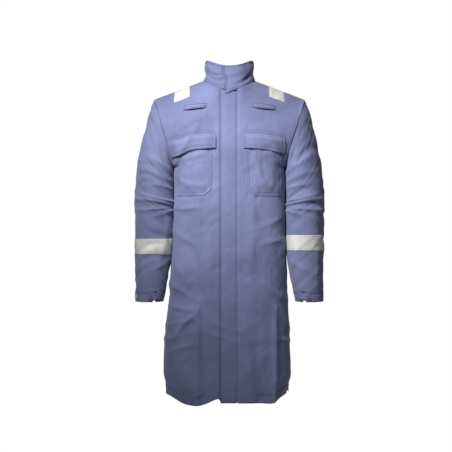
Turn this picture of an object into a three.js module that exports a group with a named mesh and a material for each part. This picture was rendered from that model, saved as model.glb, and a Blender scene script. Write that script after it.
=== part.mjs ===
// A long-sleeved welder's work coat, closed at the front and hanging from the loop at its neck.
// Millimetres. The origin lies inside the hanger loop, +Z is up, and the front faces -Y.
// "left" and "right" are the wearer's: left is +X, right is -X.
import * as THREE from "three";

// Cloth and the gaps between its layers
const CLOTH = 2; // thickness of one layer of coat cloth
const SEAM_GAP = 0.6; // left between two pieces whose edges meet
const LAYER_GAP = 1; // left between two layers that lie on each other
const PATCH = 0.8; // thickness of a tape, patch or label

// Body of the coat
const HEM_DROP = 1020; // neck seam down to the hem
const NECK_BACK = 10; // hanging point forward to the centre-back neck seam
const NECK_HALF_WIDTH = 83;
const NECK_BACK_DEPTH = 75; // shoulder ridge back to the neck seam
const NECK_FRONT_DEPTH = 78; // shoulder ridge forward to the neck seam
const NECK_SIDE_RISE = 12; // origin up to the neck seam at the shoulder ridge
const NECK_FRONT_DROP = 27; // the neck seam at the centre front
const SHOULDER_HALF_WIDTH = 246;
const SHOULDER_DROP = 50; // neck level down to the shoulder tip
const SHOULDER_ROUND = 120; // height over which the cloth turns in to the ridge
const ARMPIT_HALF_WIDTH = 178;
const ARMPIT_DROP = 268; // neck level down to the armpit
const ARMHOLE_HALF_DEPTH = 72;
const WAIST_DROP = 450; // the side seams run straight down to here, then flare
const HEM_HALF_WIDTH = 214;
const HEM_FRONT_DEPTH = 128; // shoulder ridge forward to the front at the hem
const BACK_DEPTH = 118; // shoulder ridge back to the fullest part of the back
const BACK_ROUND = 200; // height over which the upper back reaches that depth
const SECTION_POWER = 2.6; // 2 is an ellipse, and more is squarer
const YOKE_DROP = 170; // neck level down to the yoke seam

// Front closure
const PLACKET_WIDTH = 54;
const FLY_UNDERLAP = 20; // the right front runs on past the centre by this much
const SNAP_COUNT = 7;
const FIRST_SNAP_RISE = 85; // hem up to the lowest snap
const TOP_SNAP_DROP = 155; // neck level down to the highest snap
const SNAP_RADIUS = 7;
const STUD_RADIUS = 5.5;
const SNAP_HEIGHT = 1.2;

// Collar
const COLLAR_FRONT = 80;
const COLLAR_SIDE = 71;
const COLLAR_BACK = 62;
const COLLAR_LEAN = 6; // the top edge is this much closer in than the seam
const COLLAR_LIFT = 5; // neck edge up to the collar's lower edge
const COLLAR_UNDER_END = 10; // degrees past the centre front where the right end stops
const COLLAR_LEFT_END = 37; // degrees from the centre front where the left part stops
const COLLAR_FLAP = [-15, 50]; // degrees that the closing flap spans

// Chest pockets
const POCKET_INNER = 56; // centre front out to the pocket
const POCKET_WIDTH = 112; // where the armhole leaves room for it
const POCKET_TOP_DROP = 174;
const POCKET_DEPTH = 191;
const POCKET_ARMHOLE_MARGIN = 10; // the pocket keeps this clear of the armpit's width
const POCKET_CHAMFER = 22;
const POCKET_STAND = 9; // how far the pouch stands off the front
const POCKET_GAP = 2; // left under the pocket where the front turns to the side
const FLAP_OVERHANG = 12; // past the pocket on each side
const FLAP_TOP_DROP = 161;
const FLAP_DEPTH = 55;
const FLAP_SLOPE = 0.06; // the flap's fall toward the side
const FASTENER_WIDTH = 60; // hook-and-loop patches of the pockets
const FASTENER_HEIGHT = 20;

// Device loops, reflective tapes and side slits
const LOOP_INNER = 72;
const LOOP_LENGTH = 76;
const LOOP_HEIGHT = 15;
const LOOP_DROP = 84;
const LOOP_STAND = 14;
const TAPE_WIDTH = 50;
const SHOULDER_TAPE_INNER = 128;
const SHOULDER_TAPE_REACH = 44; // below the ridge, front and back
const SLIT_TOP_DROP = 552;
const SLIT_HEIGHT = 57;
const SLIT_SHARE = 0.93; // of the way round to the side seam where the slit's edge runs
const SLIT_TURN = 2; // height over which the slit's edge turns back to the side seam
const WELT_SHARE = 0.06;
const WELT_MARGIN = 3; // the welt runs on past the slit, up and down

// Sleeves and cuffs
const SLEEVE_LENGTH = 655; // shoulder tip down to the cuff's end
const SLEEVE_FLARE = 58; // shoulder tip out to the sleeve's outer line
const SLEEVE_TAPER = 5;
const ELBOW = 362; // shoulder tip down to where the sleeve's rings lie level
const FOREARM_START = 455;
const UPPER_ARM_STANDOFF = 8;
const WRIST_INSET = 32;
const CUFF_HALF_DEPTH = 51;
const SLEEVE_FORWARD = 27; // the cuff hangs this far in front of the shoulder
const ARMHOLE_GAP = 5.5; // torso edge to the sleeve's first ring
const SLEEVE_TAPE_DROP = 453; // shoulder tip down to the tape
const CUFF_BAND = 34;
const CUFF_SLIT = [-32, -18]; // degrees from the front of the cuff
const CUFF_TAB = [-48, 2];
const CUFF_TAB_HEIGHT = 24;
const LABEL_WIDTH = 34;
const LABEL_HEIGHT = 16;

// Hanger loop
const HANGER_HALF_LENGTH = 34;
const HANGER_STAND = 11;
const HANGER_HEIGHT = 8;

const RIDGE_Y = -(NECK_BACK + NECK_BACK_DEPTH);
const SNAP_PITCH = (HEM_DROP - FIRST_SNAP_RISE - TOP_SNAP_DROP) / (SNAP_COUNT - 1);
const RIDGE_SLOPE = (SHOULDER_DROP + NECK_SIDE_RISE) / (SHOULDER_HALF_WIDTH - NECK_HALF_WIDTH);
const PLACKET_EDGE = PLACKET_WIDTH / 2;
const FRONT = -1;
const BACK = 1;
const SIDES = [["left", 1], ["right", -1]];

const cloth = new THREE.MeshStandardMaterial({ color: 0x35528a, roughness: 0.9, metalness: 0 });
const clothInside = new THREE.MeshStandardMaterial({ color: 0x2b4473, roughness: 0.95, metalness: 0 });
const tape = new THREE.MeshStandardMaterial({ color: 0xc9c6bc, roughness: 0.45, metalness: 0.1 });
const hookAndLoop = new THREE.MeshStandardMaterial({ color: 0x23304f, roughness: 1, metalness: 0 });
const brass = new THREE.MeshStandardMaterial({ color: 0x9a8a5c, roughness: 0.35, metalness: 1 });
const white = new THREE.MeshStandardMaterial({ color: 0xe8e8e4, roughness: 0.8, metalness: 0 });

// Where the grids' lines cross the cloth, close together where it bends
const CHEST_ROWS = [0.15, 0.32, 0.5, 0.66, 0.8, 0.9, 0.97, 1]; // armpit 0, upper edge 1
const SIDE_LINES = [0.27, 0.4, 0.53, 0.66, 0.78, 0.89]; // centre 0, side seam 1
const POUCH_COLUMNS = [0, 0.07, 0.2, 0.4, 0.6, 0.8, 0.93, 1];
const POUCH_ROWS = [0.25, 0.4, 0.6, 0.8, 1];
const TAPE_STATIONS = [1, 0.65, 0.35, 0.14, 0.04]; // shares of the reach below the ridge
const SLEEVE_SHARES = [0, 0.07, 0.17, 0.3, 0.45, 0.63, 0.82]; // shoulder tip 0, elbow 1
const RIM_SHARE = 0.985; // past this share a normal is taken from just inside the cloth's edge
const GRID_PROBE = 0.012; // half the stretch of grid over which a normal is measured
const EDGE_PROBE = 1.5; // the same from the side edge, in millimetres

const { clamp, lerp, smoothstep, degToRad } = THREE.MathUtils;
const steps = (from, to, count) => Array.from({ length: count + 1 }, (_, i) => lerp(from, to, i / count));

/** The direction square to place(a, b), measured across small steps and turned to face `outward`. */
function normalAt(place, a, b, da, db, outward) {
  const along = place(a + da, b).sub(place(a - da, b));
  const across = place(a, b + db).sub(place(a, b - db));
  const normal = along.cross(across).normalize();
  return normal.dot(outward(place(a, b))) < 0 ? normal.negate() : normal;
}

/** A closed geometry of two skins over the same grid, joined round the rim. A ring has no side rims. */
function shell(as, bs, place, ring = false) {
  const columns = as.length;
  const rows = bs.length;
  const positions = [];
  for (const skin of [0, 1])
    for (const b of bs) for (const a of as) positions.push(...place(a, b, skin).toArray());
  const at = (i, j, skin) => skin * columns * rows + j * columns + (i % columns);
  const triangles = [];
  const quad = (p, q, r, s) => triangles.push(p, q, r, p, r, s);
  const spans = ring ? columns : columns - 1;
  for (let i = 0; i < spans; i++)
    for (let j = 0; j < rows - 1; j++) {
      quad(at(i, j, 1), at(i + 1, j, 1), at(i + 1, j + 1, 1), at(i, j + 1, 1));
      quad(at(i, j, 0), at(i, j + 1, 0), at(i + 1, j + 1, 0), at(i + 1, j, 0));
    }
  for (let i = 0; i < spans; i++) {
    quad(at(i, 0, 0), at(i + 1, 0, 0), at(i + 1, 0, 1), at(i, 0, 1));
    quad(at(i, rows - 1, 1), at(i + 1, rows - 1, 1), at(i + 1, rows - 1, 0), at(i, rows - 1, 0));
  }
  if (!ring)
    for (let j = 0; j < rows - 1; j++) {
      quad(at(0, j, 1), at(0, j + 1, 1), at(0, j + 1, 0), at(0, j, 0));
      quad(at(columns - 1, j, 0), at(columns - 1, j + 1, 0), at(columns - 1, j + 1, 1), at(columns - 1, j, 1));
    }
  return facingOut(positions, triangles);
}

/** The geometry of a closed surface, with its triangles turned round if they enclose a negative volume. */
function facingOut(positions, triangles) {
  const corner = (k) => new THREE.Vector3().fromArray(positions, 3 * triangles[k]);
  let volume = 0;
  for (let k = 0; k < triangles.length; k += 3)
    volume += corner(k).dot(corner(k + 1).cross(corner(k + 2)));
  if (volume < 0) triangles.reverse();
  const geometry = new THREE.BufferGeometry();
  geometry.setAttribute("position", new THREE.Float32BufferAttribute(positions, 3));
  geometry.setIndex(triangles);
  geometry.computeVertexNormals();
  return geometry;
}

const coat = new THREE.Group();

function addPiece(name, geometry, material) {
  const mesh = new THREE.Mesh(geometry, material.clone());
  mesh.name = name;
  coat.add(mesh);
}

// --- The torso surface -------------------------------------------------------------------------

const ridgeHeight = (x) => NECK_SIDE_RISE + RIDGE_SLOPE * (NECK_HALF_WIDTH - Math.abs(x));

/** Height of the upper edge of the front or back at x: the neck seam, then the shoulder ridge. */
function topEdge(face, x) {
  const share = clamp(Math.abs(x) / NECK_HALF_WIDTH, 0, 1);
  const neck = face === FRONT ? NECK_FRONT_DROP : 0;
  return share < 1 ? lerp(-neck, NECK_SIDE_RISE, share ** 2) : ridgeHeight(x);
}

/** How far up from the armpit (0) to the upper edge (1) a point of the torso lies. */
const armholeShare = (face, x, z) =>
  clamp((z + ARMPIT_DROP) / (topEdge(face, x) + ARMPIT_DROP), 0, 1);

/** Half the torso's width at height z below the armpit, or at the given share of the armhole. */
function halfWidth(z, share) {
  if (share > 0) return lerp(ARMPIT_HALF_WIDTH, SHOULDER_HALF_WIDTH, share);
  const flare = clamp((-WAIST_DROP - z) / (HEM_DROP - WAIST_DROP), 0, 1);
  return lerp(ARMPIT_HALF_WIDTH, HEM_HALF_WIDTH, flare ** 1.2);
}

/** Depth from the shoulder ridge's plane to the cloth at the middle of the front or back. */
function middleDepth(face, z) {
  if (face === FRONT)
    return lerp(NECK_FRONT_DEPTH, HEM_FRONT_DEPTH, (-NECK_FRONT_DROP - z) / (HEM_DROP - NECK_FRONT_DROP));
  return lerp(NECK_BACK_DEPTH, BACK_DEPTH, Math.sin(clamp(-z / BACK_ROUND, 0, 1) * Math.PI / 2));
}

/** The armhole's half-depth at a share of its height, on an ellipse from armpit to shoulder tip. */
const armholeDepth = (share) => ARMHOLE_HALF_DEPTH * Math.sqrt(Math.max(0, 1 - (2 * share - 1) ** 2));

/** A point of the torso's cloth, given across (x) and up (z). */
function torsoAt(face, x, z) {
  const share = armholeShare(face, x, z);
  const across = clamp(Math.abs(x) / halfWidth(z, share), 0, 1);
  const section = (1 - across ** SECTION_POWER) ** (1 / SECTION_POWER);
  const below = clamp((ridgeHeight(x) - z) / SHOULDER_ROUND, 0, 1);
  const round = Math.sqrt(1 - (1 - below) ** 2);
  const nearRidge = smoothstep(Math.abs(x), NECK_HALF_WIDTH / 3, NECK_HALF_WIDTH);
  const edge = armholeDepth(share);
  const full = middleDepth(face, z) * lerp(1, round, nearRidge);
  return new THREE.Vector3(x, RIDGE_Y + face * (SEAM_GAP / 2 + edge + (full - edge) * section), z);
}

const torsoOutward = (face) => (point) =>
  new THREE.Vector3(point.x, face * BACK_DEPTH * 1.6, 0.6 * SHOULDER_DROP * (point.z > -ARMPIT_DROP));

/** The same point lifted off the surface along its normal. */
function torsoOffset(face, x, z, offset) {
  const limit = halfWidth(z, armholeShare(face, x, z)) - EDGE_PROBE;
  const held = clamp(x, -limit, limit);
  const base = torsoAt(face, x, z);
  const place = (a, b) => torsoAt(face, a, Math.min(b, topEdge(face, a)));
  return base.addScaledVector(normalAt(place, held, z, 1, 1, torsoOutward(face)), offset);
}

/** Where the girth share u (-1 to 1) and the height row v fall on the torso's cloth. */
function torsoGrid(face, u, v) {
  const bend = Math.sign(u) * Math.sin(Math.abs(u) * Math.PI / 2) ** (2 / SECTION_POWER);
  if (v <= 0) {
    const z = lerp(-ARMPIT_DROP, -HEM_DROP, -v);
    return torsoAt(face, bend * halfWidth(z, 0), z);
  }
  const x = bend * halfWidth(0, v);
  return torsoAt(face, x, lerp(-ARMPIT_DROP, topEdge(face, x), v));
}

/** The girth share of a place x across, in row v. */
function girthShare(x, v) {
  const half = v <= 0 ? halfWidth(lerp(-ARMPIT_DROP, -HEM_DROP, -v), 0) : halfWidth(0, v);
  const bend = clamp(Math.abs(x) / half, 0, 1);
  return Math.sign(x) * Math.asin(bend ** (SECTION_POWER / 2)) / (Math.PI / 2);
}

const rowOfDrop = (drop) => -(drop - ARMPIT_DROP) / (HEM_DROP - ARMPIT_DROP);

/** Lines of the torso's grid, from the hem (-1) past the armpit (0) to the upper edge (1). */
function torsoRows() {
  const slit = [SLIT_TOP_DROP, SLIT_TOP_DROP + SLIT_HEIGHT];
  const beside = [slit[0] - SLIT_TURN, slit[1] + SLIT_TURN];
  const skirt = steps(HEM_DROP, beside[1], 5);
  const waist = steps(WAIST_DROP, ARMPIT_DROP, 2);
  return [...[...skirt, slit[1], slit[0], beside[0], ...waist].map(rowOfDrop), ...CHEST_ROWS];
}

/** Where the grid's upright lines cross a stretch between two girth shares, as shares of that stretch. */
function uprightLines(from, to) {
  const neck = girthShare(NECK_HALF_WIDTH, 1);
  const oneSide = [neck * 0.6, neck, ...SIDE_LINES];
  const lines = [...oneSide.map((u) => -u), 0, ...oneSide].sort((a, b) => a - b);
  const inside = lines.filter((u) => u > Math.min(from, to) + 0.01 && u < Math.max(from, to) - 0.01);
  return [from, ...(from < to ? inside : inside.reverse()), to].map((u) => (u - from) / (to - from));
}

/** A stretch of the torso between two girth shares, which may differ from row to row. */
function torsoPanel(face, rows, from, to, inner, outer) {
  const place = (share, v, skin) => {
    const u = lerp(from(v), to(v), share);
    const grid = (a, b) => torsoGrid(face, clamp(a, -1, 1), clamp(b, -1, 1));
    const held = [clamp(u, -RIM_SHARE, RIM_SHARE), clamp(v, -RIM_SHARE, RIM_SHARE)];
    const normal = normalAt(grid, ...held, GRID_PROBE, GRID_PROBE, torsoOutward(face));
    const point = grid(u, v).addScaledVector(normal, skin ? outer : inner);
    return v === -1 ? point.setZ(-HEM_DROP) : point; // the hem is cut level
  };
  return shell(uprightLines(from(1), to(1)), rows, place);
}

const inSlit = (v) => v >= rowOfDrop(SLIT_TOP_DROP + SLIT_HEIGHT) - 1e-6 && v <= rowOfDrop(SLIT_TOP_DROP) + 1e-6;

function addTorso() {
  const sideShare = (v) => (inSlit(v) ? SLIT_SHARE : 1);
  const rightStart = (v) => girthShare(FLY_UNDERLAP, v);
  const leftStart = (v) => girthShare(PLACKET_EDGE + SEAM_GAP, v);
  const right = torsoPanel(FRONT, torsoRows(), rightStart, (v) => -sideShare(v), 0, CLOTH);
  addPiece("front_right", right, cloth);
  addPiece("front_left", torsoPanel(FRONT, torsoRows(), leftStart, sideShare, 0, CLOTH), cloth);
  const yokeRow = (ARMPIT_DROP - YOKE_DROP) / ARMPIT_DROP;
  const gapRow = SEAM_GAP / ARMPIT_DROP;
  const lower = [...torsoRows().filter((v) => v < yokeRow), yokeRow - gapRow];
  const upper = [yokeRow + gapRow, ...torsoRows().filter((v) => v > yokeRow + gapRow)];
  const edges = [() => -1, () => 1];
  addPiece("back_panel", torsoPanel(BACK, lower, ...edges, 0, CLOTH), cloth);
  addPiece("back_yoke", torsoPanel(BACK, upper, ...edges, 0, CLOTH), cloth);
}

/** A patch on the torso between two x lines, with its heights and lift given place by place. */
function torsoPatch(face, xs, ts, heightAt, liftAt, thickness) {
  const place = (x, t, skin) =>
    torsoOffset(face, x, heightAt(x, t), liftAt(x, t) + (skin ? thickness : 0));
  return shell(xs, ts, place);
}

// --- Front closure -----------------------------------------------------------------------------

const FLY_LIFT = CLOTH + LAYER_GAP;
const CAP_LIFT = FLY_LIFT + CLOTH + SEAM_GAP / 2;
const PLACKET_LIFT = CAP_LIFT + SNAP_HEIGHT + SEAM_GAP;

function addClosure() {
  const top = -NECK_FRONT_DROP - 2 * CLOTH;
  const height = (x, t) => lerp(-HEM_DROP + CLOTH, top, t);
  const rows = steps(0, 1, 6);
  const fly = torsoPatch(FRONT, steps(-FLY_UNDERLAP, PLACKET_EDGE, 2), rows, height, () => FLY_LIFT, CLOTH);
  addPiece("inner_fly", fly, clothInside);
  const flap = steps(-PLACKET_EDGE, PLACKET_EDGE, 2);
  addPiece("placket_flap", torsoPatch(FRONT, flap, rows, height, () => PLACKET_LIFT, CLOTH), cloth);
  for (let i = 0; i < SNAP_COUNT; i++) {
    const z = -HEM_DROP + FIRST_SNAP_RISE + i * SNAP_PITCH;
    addPiece("snap_cap_" + (i + 1), discOn(0, z, CAP_LIFT, SNAP_RADIUS), brass);
    addPiece("snap_stud_" + (i + 1), discOn(0, z, -SNAP_HEIGHT - SEAM_GAP, STUD_RADIUS), brass);
  }
}

/** A thin disc lying on the front's cloth at the given lift. */
function discOn(x, z, lift, radius) {
  const low = torsoOffset(FRONT, x, z, lift);
  const high = torsoOffset(FRONT, x, z, lift + SNAP_HEIGHT);
  return discBetween(low, high, radius);
}

function discBetween(low, high, radius) {
  const axis = high.clone().sub(low);
  const geometry = new THREE.CylinderGeometry(radius * 0.85, radius, axis.length(), 12);
  const turn = new THREE.Quaternion().setFromUnitVectors(new THREE.Vector3(0, 1, 0), axis.normalize());
  const middle = low.clone().lerp(high, 0.5);
  geometry.applyQuaternion(turn);
  geometry.translate(middle.x, middle.y, middle.z);
  return geometry;
}

// --- Collar ------------------------------------------------------------------------------------

/** Height of the collar at an angle round the neck, in degrees from the centre front. */
function collarHeight(angle) {
  const forward = Math.cos(degToRad(angle));
  return forward > 0 ? lerp(COLLAR_SIDE, COLLAR_FRONT, forward) : lerp(COLLAR_SIDE, COLLAR_BACK, -forward);
}

/** A point of the collar: an angle round the neck, a share of its height, and a lift outward. */
function collarAt(angle, share, lift) {
  const turn = degToRad(angle);
  const forward = Math.cos(turn);
  const lean = COLLAR_LEAN * share;
  const halfX = NECK_HALF_WIDTH - lean + lift;
  const halfY = (forward > 0 ? NECK_FRONT_DEPTH : NECK_BACK_DEPTH) - lean + lift;
  const seam = topEdge(forward > 0 ? FRONT : BACK, NECK_HALF_WIDTH * Math.sin(turn) * 0.999);
  const z = seam + COLLAR_LIFT + share * (collarHeight(angle) - COLLAR_LIFT);
  return new THREE.Vector3(halfX * Math.sin(turn), RIDGE_Y - halfY * forward, z);
}

function collarPatch(angles, shares, inner, outer) {
  return shell(angles, shares, (angle, share, skin) => collarAt(angle, share, skin ? outer : inner));
}

const COLLAR_FLAP_LIFT = CLOTH + 2 * PATCH + 3 * LAYER_GAP;

function addCollar() {
  const round = steps(COLLAR_LEFT_END, 360 + COLLAR_UNDER_END, 28);
  const shares = [0, 0.5, 1];
  const lining = -SEAM_GAP - CLOTH;
  addPiece("collar", collarPatch(round, shares, 0, CLOTH), cloth);
  addPiece("collar_lining", collarPatch(round, [0.03, 0.5, 0.98], lining, -SEAM_GAP), clothInside);
  const flap = steps(...COLLAR_FLAP, 7);
  addPiece("collar_flap", collarPatch(flap, shares, COLLAR_FLAP_LIFT, COLLAR_FLAP_LIFT + CLOTH), cloth);
  const grip = steps(COLLAR_FLAP[0] + 4, COLLAR_UNDER_END - 2, 3);
  const loopLift = CLOTH + LAYER_GAP;
  const hookLift = loopLift + PATCH + LAYER_GAP;
  addPiece("collar_loop_patch", collarPatch(grip, [0.35, 0.75], loopLift, loopLift + PATCH), hookAndLoop);
  addPiece("collar_hook_patch", collarPatch(grip, [0.35, 0.75], hookLift, hookLift + PATCH), hookAndLoop);
  const label = lining - SEAM_GAP;
  addPiece("neck_label", collarPatch(steps(162, 198, 4), [0.25, 0.7], label - PATCH, label), white);
}

function addHangerLoop() {
  const place = (share, z, skin) => {
    const x = lerp(-HANGER_HALF_LENGTH, HANGER_HALF_LENGTH, share);
    const seam = -NECK_BACK + CLOTH + COLLAR_LIFT;
    const bow = Math.sin(Math.PI * share);
    return new THREE.Vector3(x, seam + HANGER_STAND * bow + (skin ? CLOTH : 0), z);
  };
  const rows = [-HANGER_HEIGHT / 2, HANGER_HEIGHT / 2];
  addPiece("hanger_loop", shell(steps(0, 1, 10), rows, place), cloth);
}

// --- Chest pockets and their flaps -------------------------------------------------------------

const POCKET_LIFT = CLOTH + POCKET_GAP;
const GRIP_LIFT = POCKET_LIFT + POCKET_STAND + CLOTH + SEAM_GAP;
const FLAP_LIFT = GRIP_LIFT + 2 * PATCH + 2 * SEAM_GAP + LAYER_GAP;
const POCKET_BOTTOM = POCKET_TOP_DROP + POCKET_DEPTH;
const POCKET_OUTER = Math.min(POCKET_INNER + POCKET_WIDTH, ARMPIT_HALF_WIDTH - POCKET_ARMHOLE_MARGIN);

/** The share of the pouch's full stand-off at a place: none at its sewn edges, all at its mouth. */
function pouchShare(across, up) {
  return (1 - Math.abs(2 * across - 1) ** 4) * Math.sin(clamp(up * 2.5, 0, 1) * Math.PI / 2);
}

function addPocket(label, side) {
  const place = (across, t, skin) => {
    const drop = lerp(POCKET_BOTTOM, POCKET_TOP_DROP, t);
    const chamfer = Math.max(0, POCKET_CHAMFER - (POCKET_BOTTOM - drop));
    const x = lerp(POCKET_INNER + chamfer, POCKET_OUTER, across);
    const lift = POCKET_LIFT + POCKET_STAND * pouchShare(across, t);
    const z = -drop - FLAP_SLOPE * (x - POCKET_INNER) * t;
    return torsoOffset(FRONT, side * x, z, lift + (skin ? CLOTH : 0));
  };
  const rows = [0, POCKET_CHAMFER / POCKET_DEPTH, ...POUCH_ROWS];
  addPiece("pocket_" + label, shell(POUCH_COLUMNS, rows, place), cloth);
}

function addPocketFlap(label, side) {
  const from = POCKET_INNER - FLAP_OVERHANG;
  const to = POCKET_OUTER + FLAP_OVERHANG - 2;
  const fall = (x) => FLAP_SLOPE * (Math.abs(x) - POCKET_INNER);
  const height = (x, t) => -FLAP_TOP_DROP - fall(x) - FLAP_DEPTH * (1 - t);
  const lift = (x, t) => lerp(POCKET_LIFT, FLAP_LIFT, Math.min(1, (1 - t) * 4));
  const xs = steps(side * from, side * to, 7);
  const flap = torsoPatch(FRONT, xs, [0, 0.4, 0.75, 1], height, lift, CLOTH);
  addPiece("pocket_flap_" + label, flap, cloth);
  const middle = side * (POCKET_INNER + POCKET_OUTER) / 2;
  const grip = steps(middle - FASTENER_WIDTH / 2, middle + FASTENER_WIDTH / 2, 4);
  const low = -FLAP_TOP_DROP - FLAP_DEPTH + LAYER_GAP;
  const gripHeight = (x, t) => low - fall(x) + FASTENER_HEIGHT * t;
  const hookLift = GRIP_LIFT + PATCH + SEAM_GAP;
  const loop = torsoPatch(FRONT, grip, [0, 1], gripHeight, () => GRIP_LIFT, PATCH);
  const hook = torsoPatch(FRONT, grip, [0, 1], gripHeight, () => hookLift, PATCH);
  addPiece("pocket_loop_patch_" + label, loop, hookAndLoop);
  addPiece("flap_hook_patch_" + label, hook, hookAndLoop);
}

// --- Device loops, shoulder tapes, slit welts --------------------------------------------------

function addDeviceLoop(label, side) {
  const xs = steps(side * LOOP_INNER, side * (LOOP_INNER + LOOP_LENGTH), 8);
  const height = (x, t) => -LOOP_DROP + LOOP_HEIGHT * (t - 0.5);
  const share = (x) => (Math.abs(x) - LOOP_INNER) / LOOP_LENGTH;
  const lift = (x) => CLOTH + LAYER_GAP + LOOP_STAND * Math.sin(Math.PI * share(x)) ** 0.7;
  addPiece("device_loop_" + label, torsoPatch(FRONT, xs, [0, 1], height, lift, CLOTH), cloth);
}

/** A tape laid over the shoulder: down the front, over the ridge and down the back. */
function addShoulderTape(label, side) {
  const down = TAPE_STATIONS.toReversed();
  const stations = [...TAPE_STATIONS.map((r) => [FRONT, r]), [FRONT, 0], ...down.map((r) => [BACK, r])];
  const place = (x, row, skin) => {
    const [face, share] = stations[row];
    const z = ridgeHeight(x) - SHOULDER_TAPE_REACH * share;
    return torsoOffset(face, x, z, CLOTH + LAYER_GAP + (skin ? PATCH : 0));
  };
  const xs = steps(side * SHOULDER_TAPE_INNER, side * (SHOULDER_TAPE_INNER + TAPE_WIDTH), 3);
  addPiece("shoulder_tape_" + label, shell(xs, [...stations.keys()], place), tape);
}

function addSlitWelt(label, side) {
  const drops = [SLIT_TOP_DROP + SLIT_HEIGHT + WELT_MARGIN, SLIT_TOP_DROP - WELT_MARGIN];
  const rows = drops.map(rowOfDrop);
  const from = () => side * (SLIT_SHARE - WELT_SHARE);
  const to = () => side * (SLIT_SHARE - WELT_SHARE / 12);
  const lift = CLOTH + LAYER_GAP;
  const welt = torsoPanel(FRONT, [rows[0], (rows[0] + rows[1]) / 2, rows[1]], from, to, lift, lift + CLOTH);
  addPiece("slit_welt_" + label, welt, cloth);
}

// --- Sleeves and cuffs -------------------------------------------------------------------------

/** The sleeve's ring whose outer line lies `drop` below the shoulder tip. */
function sleeveRing(drop) {
  const underarm = ARMPIT_DROP - SHOULDER_DROP;
  const innerDrop = drop < ELBOW ? lerp(underarm, ELBOW, drop / ELBOW) : drop;
  const bend = Math.sin(clamp(drop / ELBOW, 0, 1) * Math.PI / 2);
  const taper = SLEEVE_TAPER * clamp((drop - ELBOW) / (SLEEVE_LENGTH - ELBOW), 0, 1);
  const forearm = clamp((innerDrop - FOREARM_START) / (SLEEVE_LENGTH - FOREARM_START), 0, 1);
  const upper = clamp((innerDrop - underarm) / (FOREARM_START - underarm), 0, 1);
  const share = drop / SLEEVE_LENGTH;
  return {
    outer: new THREE.Vector2(SHOULDER_HALF_WIDTH + ARMHOLE_GAP + SLEEVE_FLARE * bend - taper, -SHOULDER_DROP - drop),
    inner: new THREE.Vector2(
      ARMPIT_HALF_WIDTH + ARMHOLE_GAP + UPPER_ARM_STANDOFF * upper + WRIST_INSET * forearm ** 1.5,
      -SHOULDER_DROP - innerDrop,
    ),
    halfDepth: lerp(ARMHOLE_HALF_DEPTH, CUFF_HALF_DEPTH, share ** 1.4),
    y: RIDGE_Y - SLEEVE_FORWARD * share ** 1.3,
  };
}

/** A point of the sleeve's cloth: degrees round from the front (90 is the outer line). */
function sleeveAt(side, angle, drop) {
  const ring = sleeveRing(drop);
  const turn = degToRad(angle);
  const share = (1 + Math.sin(turn)) / 2;
  const across = ring.inner.clone().lerp(ring.outer, share);
  return new THREE.Vector3(side * across.x, ring.y - ring.halfDepth * Math.cos(turn), across.y);
}

function sleeveOffset(side, angle, drop, offset) {
  const ring = sleeveRing(drop);
  const middle = ring.inner.clone().lerp(ring.outer, 0.5);
  const outward = (point) => point.clone().sub(new THREE.Vector3(side * middle.x, ring.y, middle.y));
  const held = Math.max(drop, 4);
  const normal = normalAt((a, d) => sleeveAt(side, a, d), angle, held, 3, 3, outward);
  return sleeveAt(side, angle, drop).addScaledVector(normal, offset);
}

/** A stretch of the sleeve's wall, or with ring set, the whole way round. */
function sleevePatch(side, angles, drops, inner, outer, ring = false) {
  const place = (angle, drop, skin) => sleeveOffset(side, angle, drop, skin ? outer : inner);
  return shell(angles, drops, place, ring);
}

function addSleeve(label, side) {
  const around = steps(0, 360, 16).slice(0, -1);
  const cuffTop = SLEEVE_LENGTH - CUFF_BAND;
  const forearm = steps(FOREARM_START, cuffTop - SEAM_GAP, 3);
  const drops = [...SLEEVE_SHARES.map((share) => share * ELBOW), ELBOW, ...forearm];
  addPiece("sleeve_" + label, sleevePatch(side, around, drops, 0, CLOTH, true), cloth);
  const tapeLift = CLOTH + LAYER_GAP;
  const tapeRows = [SLEEVE_TAPE_DROP, SLEEVE_TAPE_DROP + TAPE_WIDTH];
  const tapeRing = steps(0, 360, 24).slice(0, -1);
  addPiece("sleeve_tape_" + label, sleevePatch(side, tapeRing, tapeRows, tapeLift, tapeLift + PATCH, true), tape);
  addCuff(label, side, cuffTop);
}

function addCuff(label, side, top) {
  const rows = [top, SLEEVE_LENGTH];
  const band = steps(CUFF_SLIT[1], 360 + CUFF_SLIT[0], 24);
  addPiece("cuff_" + label, sleevePatch(side, band, rows, 0, CLOTH), cloth);
  const studLift = CLOTH + SEAM_GAP / 2;
  const tabLift = studLift + SNAP_HEIGHT + SEAM_GAP;
  const middle = (top + SLEEVE_LENGTH) / 2;
  const tabRows = [middle - CUFF_TAB_HEIGHT / 2, middle + CUFF_TAB_HEIGHT / 2];
  const tab = sleevePatch(side, steps(...CUFF_TAB, 5), tabRows, tabLift, tabLift + CLOTH);
  addPiece("cuff_tab_" + label, tab, cloth);
  const snapAngle = CUFF_TAB[1] - 10;
  const capLift = tabLift + CLOTH + SEAM_GAP / 2;
  addPiece("cuff_stud_" + label, cuffDisc(side, snapAngle, middle, studLift, STUD_RADIUS), brass);
  addPiece("cuff_cap_" + label, cuffDisc(side, snapAngle, middle, capLift, STUD_RADIUS), brass);
}

function cuffDisc(side, angle, drop, lift, radius) {
  const low = sleeveOffset(side, angle, drop, lift);
  return discBetween(low, sleeveOffset(side, angle, drop, lift + SNAP_HEIGHT), radius);
}

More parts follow.
